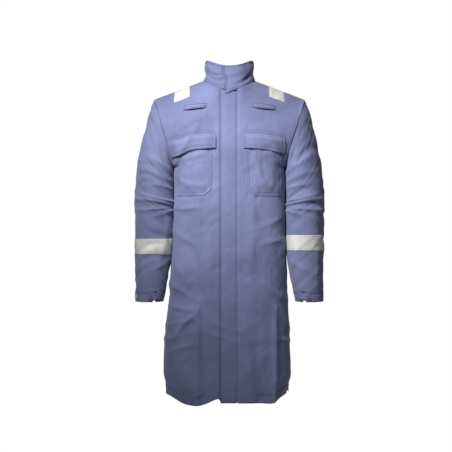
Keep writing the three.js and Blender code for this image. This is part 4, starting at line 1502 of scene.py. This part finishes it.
@dataclass
class ChestPocket:
    """A patch pocket with a chamfered lower inner corner, and the flap that closes it."""

    form: TorsoForm
    finishes: Finishes
    label: str
    side: int
    inner: float = 56.0 * MM
    width: float = 112.0 * MM
    top_drop: float = 174.0 * MM
    depth: float = 191.0 * MM
    chamfer: float = 22.0 * MM
    base_lift: float = 1.6 * MM
    bulge: float = 6.5 * MM
    overhang: float = 12.0 * MM
    outer_hang: float = 9.0 * MM
    droop: float = 5.0 * MM
    # Rises of the stitch rows on the front above the flap's top. The row at 1.4 mm draws a painted shade line
    # along the flap's folded top edge. The row at 7.5 mm is real topstitching.
    flap_shade_line_and_seam_rises: tuple[float, ...] = (1.4 * MM, 7.5 * MM)
    twin: tuple[float, ...] = (2.0 * MM, 8.0 * MM)
    flap_top_drop: float = 163.0 * MM
    calm: float = 0.1
    flap_depth: float = 50.0 * MM
    slope: float = 0.06
    grip: tuple[float, float] = (60.0 * MM, 20.0 * MM)
    folds: tuple[Fold, ...] = ()

    def pouch_lift(self, x: Array, z: Array) -> Array:
        """Lift of the pouch at places across (as if on the left) and up.

        Args:
            x: places across.
            z: heights.

        Returns:
            The lift in metres.
        """
        fall = self.slope * (x - self.inner)
        bottom = z + self.top_drop + self.depth
        corner = (x - self.inner + bottom - self.chamfer) / math.sqrt(2.0)
        sides = np.minimum(x - self.inner, self.inner + self.width - x)
        edge = np.minimum(np.minimum(sides, bottom), corner)
        up = np.clip(bottom / (self.depth - fall), 0.0, 1.0)
        full = ease(edge, 4.0 * MM, 40.0 * MM) * mix(0.75, 1.0, up)
        mouth = ease(sides, 0.0, 20.0 * MM) * ease(up, 0.8, 1.0) * 0.3 * MM
        total = self.base_lift + self.bulge * full + mouth + pressed(edge, self.twin)
        wrinkle = crumple(x * self.side, z, 61 + self.side, 0.045, 0.9 * MM) * ease(edge, 5.0 * MM, 20.0 * MM)
        pucker = 0.35 * MM * np.exp(-(((edge - 5.0 * MM) / (5.0 * MM)) ** 2)) * np.sin((x + z) / (2.4 * MM))
        for fold in self.folds:
            wrinkle += fold.relief(x * self.side, z) * ease(edge, 3.0 * MM, 14.0 * MM)
        return total + wrinkle + pucker

    def outline(self, inset: float) -> tuple[Array, Array]:
        """Walk round the pouch's sewn edges at an inset, from the mouth's inner end to its outer end."""
        left, right = self.inner + inset, self.inner + self.width - inset
        low, cut = -self.top_drop - self.depth + inset, self.chamfer - 0.41 * inset
        top_left, top_right = -self.top_drop, -self.top_drop - self.slope * self.width
        return trail([(left, top_left), (left, low + cut), (left + cut, low), (right, low),
                      (right, top_right)])

    def build(self, thread: Stitching, flap_thread: Stitching) -> None:
        """Make the pocket, its flap, the grips and the seams."""
        across, up = np.meshgrid(edge_shares(self.width, 3.6 * MM), edge_shares(self.depth, 3.6 * MM))
        cut = np.maximum(0.0, self.chamfer - up * self.depth)
        x = mix(self.inner + cut, self.inner + self.width, across)
        z = mix(-self.top_drop - self.depth, -self.top_drop - self.slope * (x - self.inner), up)
        pouch = Grid.measured(self.form.over(Face.FRONT, self.side * x, z, self.pouch_lift(x, z)))
        ground = (f"front_{self.label}_cloth",)
        make_sheet(f"pocket_{self.label}_cloth", pouch, (0, -1, 0), 1.4 * MM, self.finishes.coat,
                   Placing((f"pocket_{self.label}",), "coat_body", Slot.COAT, ground))
        for inset in self.twin:
            line_x, line_z = self.outline(inset)
            lift = self.pouch_lift(line_x, line_z)
            thread.run(*self.form.sewn(Face.FRONT, self.side * line_x, line_z, lift))
        across = np.linspace(0.02, 0.98, 60)
        line_x, line_z, _ = self.flap_place(across, np.zeros_like(across))
        # Dark stitch rows above the flap's top. The lower one is painted shade along the fold.
        for rise in self.flap_shade_line_and_seam_rises:
            thread.run(*self.form.sewn(Face.FRONT, self.side * line_x, line_z + rise))
        self.build_flap(flap_thread)
        self.build_grips()

    def flap_place(self, across: Array, down: Array) -> tuple[Array, Array, Array]:
        """Place across, height and lift of the flap at shares across (from the centre) and down."""
        reach = self.inner + self.width + self.outer_hang
        x = mix(self.inner - self.overhang, reach, across)
        droop = self.droop * ease(across, 0.45, 1.0) * (0.75 + 0.25 * down)
        z = -self.flap_top_drop - self.slope * (x - self.inner) - self.flap_depth * down - droop
        sides = np.minimum(x - self.inner + self.overhang, reach - x)
        edge = np.minimum(sides, (1.0 - down) * self.flap_depth)
        pinned = ease(down, 0.0, 0.32)
        inside = ease(across, 0.0, 0.25) * (1.0 - ease(across, 0.75, 1.0))
        cover = mix(3.4, 9.6, inside) * MM
        wave = 0.8 * MM * np.sin(x / (15.0 * MM) + self.side) * down
        lift = 2.0 * MM + cover * pinned + wave + pressed(edge, self.twin)
        return x, z, lift + pressed(down * self.flap_depth, self.twin)

    def build_flap(self, thread: Stitching) -> None:
        """Make the flap and sew round it."""
        width = self.width + self.overhang + self.outer_hang
        across, down = np.meshgrid(edge_shares(width, 3.4 * MM), edge_shares(self.flap_depth, 3.4 * MM))
        x, z, lift = self.flap_place(across, down)
        flap = Grid.measured(self.form.over(Face.FRONT, self.side * x, z, lift, self.calm))
        make_sheet(f"pocket_flap_{self.label}_cloth", flap, (0, -1, 0), 2.2 * MM, self.finishes.coat,
                   Placing((f"pocket_flap_{self.label}",), f"pocket_flap_body_{self.label}", Slot.COAT,
                           (f"pocket_{self.label}_cloth",)))
        for inset in self.twin:
            a, d = inset / width, inset / self.flap_depth
            corners = ((a, d), (a, 1.0 - d), (1.0 - a, 1.0 - d), (1.0 - a, d), (a, d))
            run_a, run_d = trail([(p * width, q * self.flap_depth) for p, q in corners])
            x, z, lift = self.flap_place(run_a / width, run_d / self.flap_depth)
            line = self.form.over(Face.FRONT, self.side * x, z, lift, self.calm)
            thread.run(line, self.form.over(Face.FRONT, self.side * x, z, lift + MM, self.calm))

    def build_grips(self) -> None:
        """Make the hook and loop patches between pocket and flap."""
        middle = self.inner + self.width / 2.0
        places = np.linspace(middle - self.grip[0] / 2.0, middle + self.grip[0] / 2.0, 16)
        x, up = np.meshgrid(places, np.linspace(0.0, 1.0, 8))
        z = -self.flap_top_drop - self.flap_depth + 2.0 * MM - self.slope * (x - self.inner)
        z = z + self.grip[1] * up
        pouch = self.pouch_lift(x, z)
        loop = Grid.measured(self.form.over(Face.FRONT, self.side * x, z, pouch + 0.5 * MM))
        make_sheet(f"pocket_loop_grip_{self.label}", loop, (0, -1, 0), 0.5 * MM, self.finishes.grip,
                   Placing((f"pocket_loop_patch_{self.label}",), "coat_body", Slot.GRIP,
                           (f"pocket_{self.label}_cloth",)))
        hook = Grid.measured(self.form.over(Face.FRONT, self.side * x, z, 8.4 * MM, self.calm))
        make_sheet(f"flap_hook_grip_{self.label}", hook, (0, -1, 0), 0.5 * MM, self.finishes.grip,
                   Placing((f"flap_hook_patch_{self.label}",), f"pocket_flap_body_{self.label}", Slot.GRIP,
                           (f"pocket_flap_{self.label}_cloth",)))


# --- Device loops and shoulder tapes -------------------------------------------------------------


@dataclass
class ChestTrims:
    """One side's device loop and shoulder tape."""

    form: TorsoForm
    finishes: Finishes
    label: str
    side: int
    loop_inner: float = 72.0 * MM
    loop_length: float = 76.0 * MM
    loop_height: float = 15.0 * MM
    loop_drop: float = 75.0 * MM
    loop_stand: float = 6.0 * MM
    loop_sag: float = 0.8 * MM
    loop_slope: float = 0.12
    tape_inner: float = 128.0 * MM
    tape_width: float = 50.0 * MM
    reach: tuple[float, float] = (40.0 * MM, 44.0 * MM)

    def loop_at(self, along: Array, up: Array, lift: Lift = 0.0) -> Array:
        """Find points of the device loop at shares along it and across its height (-0.5 to 0.5)."""
        bow = np.sin(math.pi * np.clip((along - 0.07) / 0.86, 0.0, 1.0))
        x = self.loop_inner + self.loop_length * along
        z = -self.loop_drop + self.loop_height * up - self.loop_sag * bow
        z = z - self.loop_slope * (x - self.loop_inner)
        stand = 1.6 * MM + self.loop_stand * bow**0.4
        return self.form.over(Face.FRONT, self.side * x, z, stand + lift, 0.7)

    def tape_at(self, across: Array, along: Array, lift: Lift = 0.0) -> Array:
        """Find points of the shoulder tape, from its front end (-1) over the ridge to its back end (1)."""
        x = self.side * (self.tape_inner + self.tape_width * across)
        drop = np.where(along < 0.0, -along * self.reach[0], along * self.reach[1])
        z = self.form.ridge(x) - np.maximum(drop, 0.2 * MM)
        front = self.form.over(Face.FRONT, x, z, 1.0 * MM + lift)
        back = self.form.over(Face.BACK, x, z, 2.0 * MM + lift)
        return np.where((along < 0.0)[..., None], front, back)

    def build(self, thread: Stitching, tape_thread: Stitching) -> None:
        """Make the loop and the tape, and sew them down."""
        along, up = np.meshgrid(edge_shares(self.loop_length, 2.4 * MM), np.linspace(-0.5, 0.5, 11))
        dips = pressed((0.5 - np.abs(up)) * self.loop_height, (2.0 * MM,))
        loop = Grid.measured(self.loop_at(along, up, dips))
        make_sheet(f"device_loop_{self.label}_cloth", loop, (0, -1, 0), 2.0 * MM, self.finishes.coat,
                   Placing((f"device_loop_{self.label}",), "coat_body", Slot.COAT,
                           (f"front_{self.label}_cloth",)))
        run = np.linspace(0.01, 0.99, 50)
        for height in (-0.37, 0.37):
            line = np.full_like(run, height)
            thread.run(self.loop_at(run, line), self.loop_at(run, line, MM))
        for place in (0.03, 0.055, 0.945, 0.97):
            line = np.linspace(-0.42, 0.42, 12)
            spot = np.full_like(line, place)
            thread.run(self.loop_at(spot, line), self.loop_at(spot, line, MM))
        across, over = np.meshgrid(edge_shares(self.tape_width, 4.0 * MM), np.linspace(-1.0, 1.0, 42))
        dips = pressed(np.minimum(across, 1.0 - across) * self.tape_width, (2.0 * MM,)) * 0.6
        tape = Grid.measured(self.tape_at(across, over, dips))
        make_sheet(f"shoulder_tape_{self.label}_band", tape, (0, 0, 1), 0.5 * MM, self.finishes.tape,
                   Placing((f"shoulder_tape_{self.label}",), "coat_body", Slot.TAPE,
                           (f"front_{self.label}_cloth", "back_yoke_cloth")))
        along = np.linspace(-1.0, 1.0, 60)
        for place in (0.04, 0.96):
            line = np.full_like(along, place)
            tape_thread.run(self.tape_at(line, along), self.tape_at(line, along, MM))
        across = np.linspace(0.04, 0.96, 30)
        for place in (-0.95, 0.95):
            line = np.full_like(across, place)
            tape_thread.run(self.tape_at(across, line), self.tape_at(across, line, MM))


# --- Sleeves and cuffs ---------------------------------------------------------------------------

SLEEVE_FOLDS = [
    Fold((-85, 280), (30, 300), 4.0, 9.0, bow=7.0, lean=0.3),
    Fold((-80, 318), (60, 325), 3.6, 8.0, bow=-6.0),
    Fold((-40, 348), (85, 362), 3.2, 8.0, bow=4.0),
    Fold((-90, 352), (-10, 378), 2.8, 8.0),
    Fold((95, 300), (200, 312), 3.4, 9.0, bow=6.0),
    Fold((110, 340), (235, 330), 3.2, 9.0, bow=-5.0),
    Fold((210, 290), (262, 300), 3.0, 9.0),
    Fold((-70, 60), (20, 150), 3.2, 13.0, bow=6.0),
    Fold((-80, 120), (30, 215), 2.8, 12.0, bow=5.0),
    Fold((-88, 178), (10, 250), 2.8, 10.0),
    Fold((120, 60), (230, 160), 3.0, 14.0, bow=-6.0),
    Fold((140, 170), (250, 240), 2.6, 11.0),
    Fold((60, 30), (84, 250), 2.2, 13.0),
    Fold((-50, 400), (-20, 560), 1.8, 12.0),
    Fold((40, 500), (30, 600), 1.8, 11.0),
    Fold((100, 520), (110, 600), 1.6, 11.0),
    Fold((-70, 520), (10, 560), 1.8, 9.0),
]


@dataclass
class SleeveAssembly:
    """A sleeve with its tape, cuff, closing tab and snap."""

    form: SleeveForm
    finishes: Finishes
    label: str
    tape_drop: float = 453.0 * MM
    tape_width: float = 50.0 * MM
    cuff_band: float = 34.0 * MM
    slit: tuple[float, float] = (-32.0, -18.0)
    tab: tuple[float, float] = (-48.0, 2.0)
    tab_height: float = 24.0 * MM
    stud_radius: float = 5.5 * MM
    snap_height: float = 1.2 * MM
    label_size: tuple[float, float] = (34.0 * MM, 16.0 * MM)
    label_angle: float = 75.0
    blend_length: float = 0.045
    blend_start: Place = (0.212, -0.085, -0.159)
    blend_slope: tuple[float, float] = (0.955, 0.298)
    ring_columns: int = 104
    tab_length: float = 45.0 * MM
    tab_bend: tuple[float, float] = (2.0, 13.0)
    spacing: float = 3.8 * MM

    def swung(self, nodes: tuple[str, ...], slot: Slot, rests_on: tuple[str, ...] = ()) -> Placing:
        """Placing of a sleeve piece, with its blend span at the shoulder between the coat body and the
        sleeve's body.
        """
        side = self.form.side
        x, y, z = self.blend_start
        run, fall = self.blend_slope
        start = (side * x, y, z)
        end = (side * (x + run * self.blend_length), y, z - fall * self.blend_length)
        return Placing(nodes, "coat_body", slot, rests_on, (f"sleeve_body_{self.label}", start, end))

    def hinged(self, nodes: tuple[str, ...], rests_on: tuple[str, ...] = ()) -> Placing:
        """Placing of a piece of the cuff's tab, with its blend span just past the tab's sewn end."""
        middle = np.array([self.form.length - self.cuff_band / 2.0])
        start, end = (tuple(self.form.at(np.array([self.tab[0] + turn]), middle, 3.0 * MM, 1.0)[0].tolist())
                      for turn in self.tab_bend)
        return Placing(nodes, f"sleeve_body_{self.label}", Slot.COAT, rests_on,
                       (f"cuff_tab_body_{self.label}", start, end))

    def ring(self, drops: Array, lift: Callable[[Array, Array], Array], columns: int) -> Grid:
        """Grid a closed ring of cloth round the sleeve.

        Args:
            drops: distances down the sleeve.
            lift: distance out at an angle and drop.
            columns: how many lines it has.

        Returns:
            The grid.
        """
        turn = np.linspace(0.0, 360.0, columns, endpoint=False)
        angle, drop = np.meshgrid(turn, drops)
        return Grid.measured(self.form.at(angle, drop, lift(angle, drop)), ring=True)

    def build(self, thread: Stitching, tape_thread: Stitching, tab_thread: Stitching, snap: SnapHalf) -> None:
        """Make every piece of the sleeve and its seams."""
        form = self.form
        cuff_top = form.length - self.cuff_band
        drops = np.linspace(-4.0 * MM, cuff_top + 3.0 * MM, int(form.length / self.spacing))
        sleeve = self.ring(drops, lambda angle, drop: -0.6 * MM * ease(drop, cuff_top - MM, cuff_top + MM),
                           self.ring_columns)
        outward = self.outward(sleeve, drops, self.ring_columns)
        make_sheet(f"sleeve_{self.label}_cloth", sleeve, outward, 1.4 * MM, self.finishes.coat,
                   self.swung((f"sleeve_{self.label}",), Slot.COAT, (f"front_{self.label}_cloth",)))
        body = f"sleeve_body_{self.label}"
        band_drops = np.linspace(self.tape_drop, self.tape_drop + self.tape_width, 18)
        edge = lambda drop: np.minimum(drop - self.tape_drop, self.tape_drop + self.tape_width - drop)
        tape = self.ring(band_drops, lambda angle, drop: 0.7 * MM + 0.6 * pressed(edge(drop), (2.0 * MM,)),
                         self.ring_columns)
        outward = self.outward(tape, band_drops, self.ring_columns)
        make_sheet(f"sleeve_tape_{self.label}_band", tape, outward, 0.5 * MM,
                   self.finishes.tape, Placing((f"sleeve_tape_{self.label}",), body, Slot.TAPE,
                                               (f"sleeve_{self.label}_cloth",)))
        around = np.linspace(0.0, 360.0, 200)
        for drop in (self.tape_drop + 2.0 * MM, self.tape_drop + self.tape_width - 2.0 * MM):
            tape_thread.run(*form.sewn(around, np.full_like(around, drop), 0.5 * MM))
        self.build_cuff(thread, cuff_top)
        self.build_tab(tab_thread, snap, cuff_top)
        seam = np.linspace(0.02, cuff_top - 0.004, 240)
        for angle in (252.0, 258.0):
            thread.run(*form.sewn(np.full_like(seam, angle), seam))

    def outward(self, grid: Grid, drops: Array, columns: int) -> tuple[float, ...]:
        """Direction that a ring's middle face points to."""
        turn = 360.0 * (columns // 2) / columns
        drop = float(drops[len(drops) // 2])
        spot = (np.array([turn]), np.array([drop]))
        return tuple((self.form.at(*spot, MM) - self.form.at(*spot))[0].tolist())

    def build_cuff(self, thread: Stitching, cuff_top: float) -> None:
        """Make the cuff band and sew its edges."""
        form = self.form
        turns = np.linspace(self.slit[1], 360.0 + self.slit[0], 110)
        angle, share = np.meshgrid(turns, edge_shares(self.cuff_band, 3.0 * MM))
        drop = cuff_top + share * self.cuff_band
        rim = np.minimum(share, 1.0 - share) * self.cuff_band
        lift = 1.2 * MM + pressed(rim, (2.0 * MM, 8.0 * MM))
        cuff = Grid.measured(form.at(angle, drop, lift))
        turn = (self.slit[1] + 360.0 + self.slit[0]) / 2.0
        spot = (np.array([turn]), np.array([cuff_top + self.cuff_band / 2.0]))
        outward = (form.at(*spot, MM) - form.at(*spot))[0]
        make_sheet(f"cuff_{self.label}_cloth", cuff, tuple(outward.tolist()), 1.9 * MM, self.finishes.coat,
                   Placing((f"cuff_{self.label}",), f"sleeve_body_{self.label}", Slot.COAT,
                           (f"sleeve_{self.label}_cloth",)))
        around = np.linspace(self.slit[1] + 2.0, 360.0 + self.slit[0] - 2.0, 160)
        for share_down in (0.06, 0.24, 0.94):
            drops = np.full_like(around, cuff_top + share_down * self.cuff_band)
            thread.run(*form.sewn(around, drops, 0.9 * MM))

    def build_tab(self, thread: Stitching, snap: SnapHalf, cuff_top: float) -> None:
        """Make the tab that closes the cuff, and its snap."""
        form, body = self.form, f"cuff_tab_body_{self.label}"
        middle = cuff_top + self.cuff_band / 2.0
        length = self.tab_length
        along, across = np.meshgrid(edge_shares(length, 2.6 * MM), edge_shares(self.tab_height, 2.6 * MM))
        taper = 1.0 - 0.28 * ease(along, 0.8, 1.0) ** 2
        angle = mix(*self.tab, along)
        drop = middle + (across - 0.5) * self.tab_height * taper
        rim = np.minimum(np.minimum(across, 1.0 - across) * self.tab_height, (1.0 - along) * length)
        lift = 3.6 * MM + pressed(rim, (2.0 * MM,))
        tab = Grid.measured(form.at(angle, drop, lift, 0.3))
        spot = (np.array([-23.0]), np.array([middle]))
        outward = (form.at(*spot, MM) - form.at(*spot))[0]
        make_sheet(f"cuff_tab_{self.label}_cloth", tab, tuple(outward.tolist()), 1.8 * MM, self.finishes.coat,
                   self.hinged((f"cuff_tab_{self.label}",), (f"cuff_{self.label}_cloth",)))
        run = np.linspace(0.03, 0.97, 40)
        for place in (0.12, 0.88):
            drops = middle + (place - 0.5) * self.tab_height * (1.0 - 0.28 * ease(run, 0.8, 1.0) ** 2)
            line = form.at(mix(*self.tab, run), drops, 3.4 * MM, 0.3)
            thread.run(line, form.at(mix(*self.tab, run), drops, 4.4 * MM, 0.3))
        angle_at, drop_at = np.array([self.tab[1] - 10.0]), np.array([middle])
        for node, lift_at, owner in ((f"cuff_stud_{self.label}", 1.3 * MM, f"sleeve_body_{self.label}"),
                                     (f"cuff_cap_{self.label}", 3.7 * MM, body)):
            low = form.at(angle_at, drop_at, lift_at - 0.9 * MM * ("stud" in node), 0.3)[0]
            height = self.snap_height * (0.3 if "stud" in node else 1.0)
            high = form.at(angle_at, drop_at, lift_at + height, 0.3)[0]
            snap.set(f"{node}_metal", low, high, self.stud_radius, Placing((node,), owner, Slot.SNAP))

    def add_label(self, thread: Stitching) -> None:
        """Sew the blank care label on the cuff."""
        form = self.form
        middle = form.length - self.cuff_band / 2.0
        spread = math.degrees(self.label_size[0] / 2.0 / form.cuff_half_depth)
        reach = self.label_size[1] / 2.0
        angle, drop = np.meshgrid(np.linspace(self.label_angle - spread, self.label_angle + spread, 20),
                                  np.linspace(middle - reach, middle + reach, 9))
        grid = Grid.measured(form.at(angle, drop, 2.4 * MM))
        make_sheet("cuff_label_cloth", grid, (form.side, -0.3, 0), 0.6 * MM, self.finishes.label,
                   Placing(("cuff_label",), f"sleeve_body_{self.label}", Slot.LABEL,
                           (f"cuff_{self.label}_cloth",)))
        half = self.label_size[1] / 2.0 - 1.2 * MM
        inset = spread * 0.93
        corners = [(-1, -1), (1, -1), (1, 1), (-1, 1), (-1, -1)]
        places = [(self.label_angle + a * inset, middle + b * half) for a, b in corners]
        for (a0, d0), (a1, d1) in zip(places[:-1], places[1:]):
            thread.run(*form.sewn(np.linspace(a0, a1, 12), np.linspace(d0, d1, 12), 2.4 * MM))


# --- Studio --------------------------------------------------------------------------------------


@dataclass
class Studio:
    """Camera, soft lights and a pale floor."""

    middle: tuple[float, float] = (-0.011, -0.4615)
    distance: float = 3.2
    lens: float = 75.6
    key_power: float = 4.0
    fill_power: float = 2.6
    back_power: float = 18.0
    floor_half: float = 1.9
    floor_level: float = -1.7
    world: float = 0.1

    def light(self, name: str, place: Place, target: Place, size: float, power: float,
              spread: float = 180.0) -> None:
        """Add one square soft light that faces a target.

        Args:
            name: its name.
            place: where it stands.
            target: where it faces.
            size: its side in metres.
            power: its power in watts.
            spread: how wide it shines, in degrees.
        """
        lamp = bpy.data.lights.new(name, "AREA")
        lamp.shape = "SQUARE"
        lamp.size = size
        lamp.energy = power
        lamp.spread = math.radians(spread)
        piece = bpy.data.objects.new(name, lamp)
        piece.location = place
        piece.rotation_euler = (Vector(target) - Vector(place)).to_track_quat("-Z", "Y").to_euler()
        bpy.context.collection.objects.link(piece)

    def floor(self, low: float) -> None:
        """Add the pale floor, well below the hanging coat."""
        mesh = bpy.data.meshes.new("floor")
        half = self.floor_half
        corners = [(x * half, y * half, low) for x, y in ((-1, -1), (1, -1), (1, 1), (-1, 1))]
        mesh.from_pydata(corners, [], [(0, 1, 2, 3)])
        sheet = NodeSheet("floor_paint")
        cloud = sheet.noise(sheet.add("ShaderNodeTexCoord").outputs["Object"], 3.0, 2.0)
        paint = sheet.ramp(cloud, [(0.3, (0.9,) * 3), (0.7, (0.92,) * 3)])
        sheet.join(paint, sheet.shader.inputs["Base Color"])
        sheet.shader.inputs["Roughness"].default_value = 0.9
        sheet.shader.inputs["Emission Color"].default_value = (1.0, 1.0, 1.0, 1.0)
        sheet.shader.inputs["Emission Strength"].default_value = 0.1
        piece = add_object("floor", mesh, sheet.material)

    def sky(self) -> None:
        """Light the room evenly, white where it is seen directly."""
        world = bpy.data.worlds.new("room")
        bpy.context.scene.world = world
        world.use_nodes = True
        tree = world.node_tree
        tree.nodes.clear()
        path = tree.nodes.new("ShaderNodeLightPath")
        soft, seen = tree.nodes.new("ShaderNodeBackground"), tree.nodes.new("ShaderNodeBackground")
        soft.inputs["Color"].default_value = (0.96, 0.98, 1.0, 1.0)
        soft.inputs["Strength"].default_value = self.world
        seen.inputs["Color"].default_value = (1.0, 1.0, 1.0, 1.0)
        choose = tree.nodes.new("ShaderNodeMixShader")
        output = tree.nodes.new("ShaderNodeOutputWorld")
        tree.links.new(path.outputs["Is Camera Ray"], choose.inputs["Fac"])
        tree.links.new(soft.outputs["Background"], choose.inputs[1])
        tree.links.new(seen.outputs["Background"], choose.inputs[2])
        tree.links.new(choose.outputs["Shader"], output.inputs["Surface"])

    def build(self) -> None:
        """Set up the whole studio."""
        camera = bpy.data.cameras.new("camera")
        camera.lens = self.lens
        camera.sensor_width = 36.0
        camera.clip_end = 50.0
        piece = bpy.data.objects.new("camera", camera)
        piece.location = (self.middle[0], -self.distance, self.middle[1])
        piece.rotation_euler = Euler((math.pi / 2.0, 0.0, 0.0))
        bpy.context.collection.objects.link(piece)
        bpy.context.scene.camera = piece
        self.light("key", (-0.5, -1.04, 0.5), (0.01, -0.2, -0.26), 0.3, self.key_power, 56.0)
        self.light("fill", (1.3, -1.6, 0.1), (0.0, -0.1, -0.4), 1.2, self.fill_power)
        self.light("back_fill", (0.5, 1.9, 0.5), (0.0, 0.0, -0.4), 1.4, self.back_power)
        self.floor(self.floor_level)
        self.sky()
        bpy.context.scene.view_settings.view_transform = "Standard"


def main() -> None:
    """Build the coat and its studio."""
    logging.basicConfig(level=logging.INFO, format="%(name)s: %(message)s")
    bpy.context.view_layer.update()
    finishes = Finishes()
    form = TorsoForm(folds={Face.FRONT: FRONT_FOLDS, Face.BACK: BACK_FOLDS})
    snap = SnapHalf(finishes.snap)

    def thread(body: str, tape: bool = False) -> Stitching:
        """Start the stitching of one body."""
        material = finishes.tape_thread if tape else finishes.thread
        slot = Slot.TAPE if tape else Slot.COAT
        return Stitching(f"{body}_{'tape_' if tape else ''}stitching", material, Placing((), body, slot))

    coat, coat_tape = thread("coat_body"), thread("coat_body", True)
    placket, collar_end = thread("placket"), thread("collar_closure")
    sewn = [coat, coat_tape, placket, collar_end]
    panels = BodyPanels(form, finishes)
    panels.build()
    panels.sew(coat)
    SlitWelts(panels).build(coat)
    FrontClosure(form, finishes).build(placket, snap)
    collar = Collar(form, finishes)
    collar.build(coat, collar_end)
    NeckTrims(collar, finishes).build(coat)
    full_fold = (Fold((-150, -318), (-84, -330), 3.0, 9.0, bow=-6.0),
                 Fold((-128, -250), (-120, -320), 1.8, 11.0))
    flat_fold = (Fold((84, -262), (120, -352), 1.6, 11.0), Fold((140, -240), (150, -340), 1.4, 9.0))
    for label, side, folds in (("left", 1, flat_fold), ("right", -1, full_fold)):
        flap = thread(f"pocket_flap_body_{label}")
        hang = {"outer_hang": 16.0 * MM, "droop": 17.0 * MM} if label == "right" else {}
        ChestPocket(form, finishes, label, side, folds=folds, **hang).build(coat, flap)
        ChestTrims(form, finishes, label, side).build(coat, coat_tape)
        tape_drop = (453.0 if side < 0 else 441.0) * MM
        sleeve = SleeveAssembly(SleeveForm(side, form, folds=SLEEVE_FOLDS), finishes, label, tape_drop)
        seams = Stitching(f"sleeve_{label}_stitching", finishes.thread, sleeve.swung((), Slot.COAT))
        tapes = thread(f"sleeve_body_{label}", True)
        tab = Stitching(f"cuff_tab_body_{label}_stitching", finishes.thread, sleeve.hinged(()))
        sleeve.build(seams, tapes, tab, snap)
        if label == "right":
            sleeve.add_label(seams)
        sewn += [flap, seams, tapes, tab]
    for stitching in sewn:
        stitching.finish()
    Studio().build()
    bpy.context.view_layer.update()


if __name__ == "__main__":
    main()
